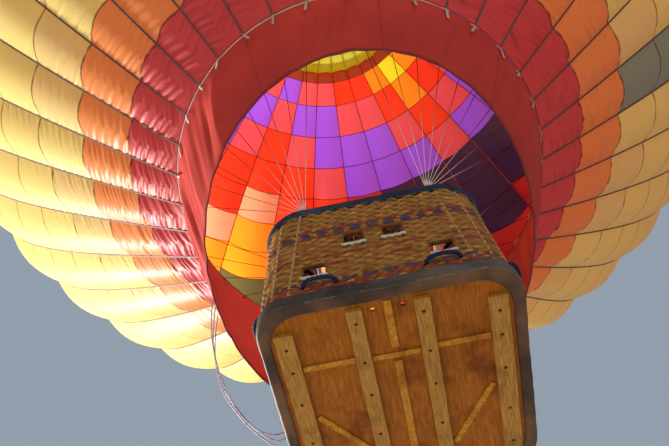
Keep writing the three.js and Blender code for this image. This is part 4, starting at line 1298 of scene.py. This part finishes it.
def burner():
    """Double burner: a crossbar with blast valve blocks, and on each side a stem, a jet ring, and a
    coil of fuel tube wound as a helix inside an open can with rolled edges."""
    steel = brushed("heat_tinted_steel", "#6a625c", "#b4aca2", (3, 3, 60), 0.4)
    parts = []
    low = FRAME_Z + 0.070
    can = [(-0.0035, 0.002), (0.0, 0.0), (0.0005, 0.006), (-0.001, 0.014), (-0.001, 0.110)]
    can += [(0.0, 0.118), (-0.001, 0.126), (-0.001, 0.238), (0.0, 0.245), (-0.003, 0.250)]
    can += [(-0.006, 0.246), (-0.005, 0.238), (-0.005, 0.008), (-0.0035, 0.002)]
    stem = [(0.002, 0.012), (0.026, 0.012), (0.026, 0.048), (0.020, 0.054), (0.020, 0.100)]
    stem += [(0.024, 0.106), (0.024, 0.126), (0.012, 0.130), (0.002, 0.130)]
    valve = [(0.002, 0.0), (0.022, 0.0), (0.029, 0.004), (0.030, 0.020), (0.024, 0.026)]
    valve += [(0.024, 0.048), (0.030, 0.054), (0.030, 0.088), (0.002, 0.090)]
    crossbar = (2 * CAN_X + 0.088, 0.094, 0.038)
    parts += slab(crossbar, (0, 0, FRAME_Z), corner=0.014, edge=0.005, per_side=8)
    parts += bar((0, -GIMBAL_Y - 0.012, FRAME_Z), (0, GIMBAL_Y + 0.012, FRAME_Z), 0.010, 24)
    for end in (-1, 1):
        parts += bar((0, end * 0.047, FRAME_Z), (0, end * 0.060, FRAME_Z), 0.018, 24)
    for side in (-1, 1):
        x = side * CAN_X
        parts += lathe(raised(can, CAN_R, low), (x, 0, 0), 72)
        parts += lathe(stem, (x, 0, FRAME_Z), 32)
        parts += lathe(valve, (x, 0, FRAME_Z - 0.100), 36)
        for cross in ((1, 0), (0, 1)):
            reach = np.array([*cross, 0.0]) * (CAN_R - 0.004)
            middle = np.array([x, 0, low + 0.012])
            parts += bar(middle - reach, middle + reach, 0.006, 12)
        turn = np.linspace(0, 2 * np.pi * 5, 300)
        rise = low + 0.075 + 0.150 * turn / turn[-1]
        coil = np.c_[x + 0.072 * np.cos(turn), 0.072 * np.sin(turn), rise]
        parts += tube(coil, 0.0065, 10)
        ring = circle(48)
        jets = np.c_[x + 0.045 * np.cos(ring), 0.045 * np.sin(ring), np.full(48, low + 0.050)]
        parts += tube(jets, 0.006, 10, closed=True)
    piece = build("burner_cans_and_coils", parts, steel)
    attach(piece, "burner")
    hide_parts("burner_unit")


UPRIGHT_R, UPRIGHT_FOOT = 0.029, (0.588, 0.583, 0.890)


def uprights():
    """Padded sleeves round the four uprights: a round bar with soft creases and a zip's ridge down
    the inner side, gathered by a strap at both ends."""
    cover, tree, shader = material("padded_sleeve_canvas", Roughness=0.85, Sheen_Weight=0.2)
    # Dark canvas cover; weave drawn at 5 mm where it is under 1 mm
    at = place(tree)
    tone = blend(tree, noise(tree, at, 6.0, 4.0), colour("#1d2029"), colour("#3b3f4c"))
    paint(tree, shader, tone)
    bump(tree, shader, noise(tree, at, 200.0), 0.001, 0.6)
    for corner, (x, y) in CORNERS.items():
        foot = np.array([x * UPRIGHT_FOOT[0], y * UPRIGHT_FOOT[1], UPRIGHT_FOOT[2]])
        head = np.array([x * (FRAME_X + 0.006), y * (FRAME_Y + 0.006), FRAME_Z - 0.042])
        share = np.linspace(0, 1, 160)
        path, side, up, _ = frames(foot + (head - foot) * share[:, None])
        angle = circle(28)[None, :]
        crease = 0.0008 * np.sin(share * 120 + x) + 0.0010 * np.sin(share * 43 + 2 * y)
        strap = 0.003 * (bell(share, 0.12, 0.012) + bell(share, 0.9, 0.012))
        end = 0.006 * (np.exp(-share / 0.01) + np.exp(-(1 - share) / 0.01))
        radius = UPRIGHT_R - 0.0015 + (crease - strap - end)[:, None] + 0.0012 * np.cos(3 * angle)
        radius = radius + 0.003 * bell(angle, 1.2, 0.12)
        ring = np.cos(angle)[..., None] * side[:, None] + np.sin(angle)[..., None] * up[:, None]
        points = path[:, None] + radius[..., None] * ring
        parts = [grid(points[:, ::-1], wrap_u=True), fan(points[0]), fan(points[-1], inward=True)]
        piece = build(f"upright_sleeve_{corner}", parts, cover)
        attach(piece, "balloon")
        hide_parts(f"upright_{corner}")


CYLINDER_R, CYLINDER_X, CYLINDER_Y = 0.132, 0.512, 0.490


def fuel_cylinders():
    """Fuel cylinders: a foot ring, a welded body with domed ends, an open collar and a valve with
    its hand wheel, all turned about the upright line, and two webbing straps."""
    steel = brushed("cylinder_aluminium", "#8f9498", "#c4c8ca", (60, 60, 2), 0.38)
    webbing, tree, shader = material("strap_webbing", Roughness=0.8)
    # Black webbing, ribs drawn at 6 mm
    rib = waves(tree, uv_of(tree)[0], 900.0)
    worn = noise(tree, place(tree), 9.0)
    paint(tree, shader, blend(tree, worn, colour("#15161a"), colour("#303238")))
    bump(tree, shader, rib, 0.001, 0.6)
    r, foot, collar = CYLINDER_R, CYLINDER_R - 0.022, CYLINDER_R - 0.052
    bend = np.linspace(0, np.pi / 2, 10)
    shell = [(0.002, 0.022), (foot - 0.012, 0.022), (foot - 0.012, 0.001), (foot, 0.0)]
    shell += [(foot + 0.001, 0.030), (r - 0.012, 0.045), (r - 0.003, 0.062), (r, 0.080)]
    shell += [(r, 0.340), (r + 0.0012, 0.345), (r + 0.0012, 0.351), (r, 0.356)]
    shell += [*zip(r - 0.062 * (1 - np.cos(bend)), 0.640 + 0.084 * np.sin(bend))]
    shell += [(0.030, 0.730), (0.026, 0.734), (0.026, 0.745), (0.002, 0.745)]
    guard = [(-0.003, 0.722), (0.0, 0.724), (0.0, 0.802), (0.002, 0.808), (-0.003, 0.812)]
    guard += [(-0.008, 0.808), (-0.005, 0.802), (-0.005, 0.724), (-0.003, 0.722)]
    valve = [(0.002, 0.742), (0.016, 0.744), (0.016, 0.762), (0.010, 0.764), (0.010, 0.772)]
    valve += [(0.026, 0.774), (0.027, 0.786), (0.020, 0.790), (0.002, 0.790)]
    strap = [(-0.001, -0.022), (0.003, -0.021), (0.003, 0.021), (-0.001, 0.022), (-0.001, -0.022)]
    buckle = (0.012, 0.050, 0.030)
    for corner, (x, y) in CORNERS.items():
        at = (x * CYLINDER_X, y * CYLINDER_Y, WALL_Z0)
        parts = lathe(shell, at, 64) + lathe(raised(guard, collar, 0), at, 64) + lathe(valve, at, 24)
        piece = build(f"cylinder_{corner}", parts, steel)
        straps = []
        for height in (0.24, 0.55):
            straps += lathe(raised(strap, r, height), (at[0], at[1], 0), 64)
            straps += slab(buckle, (at[0] - x * (r + 0.004), at[1], height), corner=0.004)
        belt = build(f"cylinder_straps_{corner}", straps, webbing)
        for part in (piece, belt):
            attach(part, "balloon")
            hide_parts(f"fuel_cylinder_{corner}")


# Woodwork: the CAD's own solids, with their materials, and the bolts in the runners

# Distance of the runners from the middle, and the bolts' places along them
OUTER_BOLTS = (0.572, [-0.453, -0.297, -0.069, 0.226, 0.480])
INNER_BOLTS = (0.180, [-0.537, -0.278, -0.049, 0.245, 0.520])


def wood(name, dark, mid, light, along, stain):
    """Sawn wood: growth lines stretched along the grain by noise, blotches of wear on top."""
    made, tree, shader = material(name, Specular_IOR_Level=0.08)
    at = place(tree, along)
    warp = noise(tree, place(tree), 2.5, 3.0)
    bent = node(tree, "VectorMath", {0: at, 1: warp}, operation="ADD").outputs[0]
    grain = noise(tree, bent, 6.0, 6.0, 0.65)
    tone = ramp(tree, grain, [(0.3, dark), (0.5, mid), (0.72, light)])
    blotch = step(tree, noise(tree, place(tree), 3.2, 6.0, 0.62), 0.48, 0.72)
    tone = blend(tree, times(tree, blotch, 0.75), tone, colour(stain))
    spots = step(tree, noise(tree, place(tree), 24.0, 5.0, 0.7), 0.62, 0.78)
    tone = blend(tree, times(tree, spots, 0.4), tone, colour(stain))
    paint(tree, shader, tone)
    paint(tree, shader, maths(tree, "ADD", times(tree, blotch, 0.25), 0.45), "Roughness")
    bump(tree, shader, grain, 0.0012, 0.5)
    return made


def woodwork():
    """Wood for the floor, the runners and the battens, and the coach bolts in the runners."""
    ply = wood("varnished_plywood", "#703a08", "#84480a", "#9a5c12", (14.0, 1.3, 1.0), "#4c1f0a")
    ash = wood("weathered_ash_runner", "#6a481a", "#8e6226", "#aa7e40", (30.0, 1.6, 30.0), "#54431c")
    pine = wood("pine_batten", "#7c480c", "#9c6616", "#b6822e", (8.0, 8.0, 8.0), "#64380a")
    for name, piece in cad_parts.items():
        for start, look in (("floor_panel", ply), ("runner", ash), ("batten", pine)):
            if name.startswith(start):
                piece.data.materials.clear()
                piece.data.materials.append(look)
    steel = brushed("rusty_coach_bolt", "#2a211c", "#5b4a40", rough=0.6)
    parts = []
    # From the head's edge in the wood down to its domed middle
    head = [(0.0088, 0.0088), (0.0088, 0.0075), (0.0075, 0.0052), (0.004, 0.0040), (0.0005, 0.0048)]
    for x, places in (OUTER_BOLTS, INNER_BOLTS):
        for side in (-1, 1):
            for y in places:
                cap = lathe(head, (side * x, y, 0), 20)
                parts += [(part[0], part[1][:, ::-1], part[2][:, ::-1]) for part in cap]
    bolts = build("runner_bolts", parts, steel)
    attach(bolts, "balloon")


# Camera, stage and light


def camera():
    """The camera from its place, yaw, rise and roll, with the lens as a length on a 36 mm sensor."""
    yaw, rise, roll = (math.radians(a) for a in (CAMERA_YAW, CAMERA_RISE, CAMERA_ROLL))
    ahead = np.array([math.sin(yaw), math.cos(yaw), 0.0])
    right = np.array([math.cos(yaw), -math.sin(yaw), 0.0])
    up = np.array([0.0, 0.0, 1.0])
    forward = math.cos(rise) * ahead + math.sin(rise) * up
    down = math.sin(rise) * ahead - math.cos(rise) * up
    x = math.cos(roll) * right + math.sin(roll) * down
    y = math.sin(roll) * right - math.cos(roll) * down
    data = bpy.data.cameras.new("camera")
    data.lens = LENS
    data.sensor_width = 36.0
    data.sensor_fit = "HORIZONTAL"
    data.clip_start, data.clip_end = 0.05, 200
    eye = bpy.data.objects.new("camera", data)
    bpy.context.collection.objects.link(eye)
    eye.matrix_world = Matrix(np.c_[np.c_[x, y, -forward], CAMERA_AT].tolist() + [[0, 0, 0, 1]])
    bpy.context.scene.camera = eye


def lamp(name, at, aim, size, power, tint="#ffffff"):
    """A round area light at a place, turned towards another."""
    data = bpy.data.lights.new(name, "AREA")
    data.shape = "DISK"
    data.size = size
    data.energy = power
    data.color = colour(tint)[:3]
    light = bpy.data.objects.new(name, data)
    bpy.context.collection.objects.link(light)
    toward = np.asarray(aim, dtype=float) - at
    forward = toward / np.linalg.norm(toward)
    side = np.cross(forward, (0.0, 0.3, 1.0))
    side /= np.linalg.norm(side)
    up = np.cross(side, forward)
    light.matrix_world = Matrix(np.c_[np.c_[side, up, -forward], at].tolist() + [[0, 0, 0, 1]])


def stage():
    """A pale floor below the camera, an even pale blue sky, and four lamps."""
    pale, tree, shader = material("studio_floor", Roughness=0.9)
    # Matt pale floor with a trace of unevenness
    tone = noise(tree, place(tree), 0.4)
    paint(tree, shader, blend(tree, tone, colour("#d9dbdd"), colour("#e4e5e6")))
    side = np.linspace(-45, 45, 3)
    x, y = np.meshgrid(side, side)
    floor = build("stage_floor", [grid(np.stack([x, y, np.full_like(x, STAGE_Z)], -1))], pale)
    world = bpy.data.worlds.new("studio")
    world.use_nodes = True
    background = world.node_tree.nodes["Background"]
    background.inputs[0].default_value = colour("#c9d8ea")
    background.inputs[1].default_value = 0.5
    bpy.context.scene.world = world
    bpy.context.scene.view_settings.view_transform = "Standard"
    lamp("key", (-22.0, 15.0, 4.0), (0, 0, 6.5), 4, 26000, "#fffaf0")
    lamp("front", (10.0, -20.0, 3.0), (0, 0, 4), 12, 1500, "#fff8f0")
    lamp("under", (-3.0, -7.0, -2.6), (0, 0, 1.2), 4, 60, "#fff2e0")
    lamp("top", (-6.0, 2.0, 30.0), (0, 0, 10), 10, 4200, "#fffaf0")


def cords():
    """The three slack lines, each one a smooth curve through its own route."""
    cloth, tree, shader = material("braided_line", Roughness=0.7)
    # Pale braid with darker flecks, drawn 12 mm apart where the real ones are closer
    fleck = noise(tree, place(tree, (80, 80, 80)), 1.0, 1.0)
    fleck = step(tree, fleck, 0.55, 0.62)
    paint(tree, shader, blend(tree, fleck, colour("#a49cac"), colour("#6c6478")))
    for name, route in SLACK_LINES.items():
        curve = bpy.data.curves.new(name, "CURVE")
        curve.dimensions = "3D"
        curve.bevel_depth = LINE_D / 2
        curve.bevel_resolution = 2
        curve.resolution_u = 6
        curve.use_fill_caps = True
        spline = curve.splines.new("BEZIER")
        spline.bezier_points.add(len(route) - 1)
        spline.bezier_points.foreach_set("co", np.array(route).ravel())
        for point in spline.bezier_points:
            point.handle_left_type = point.handle_right_type = "AUTO"
        curve.materials.append(cloth)
        piece = bpy.data.objects.new(name + "_rope", curve)
        bpy.context.collection.objects.link(piece)
        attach(piece, "balloon")
        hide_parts(name)


camera()
stage()
cords()
envelope()
load_tapes()
parachute()
skirt()
mouth_ring()
flying_wires()
wicker_walls()
step_holes()
corner_stakes()
rim()
edge_band()
rope_handles()
uprights()
burner_frame()
gimbal()
burner()
fuel_cylinders()
woodwork()
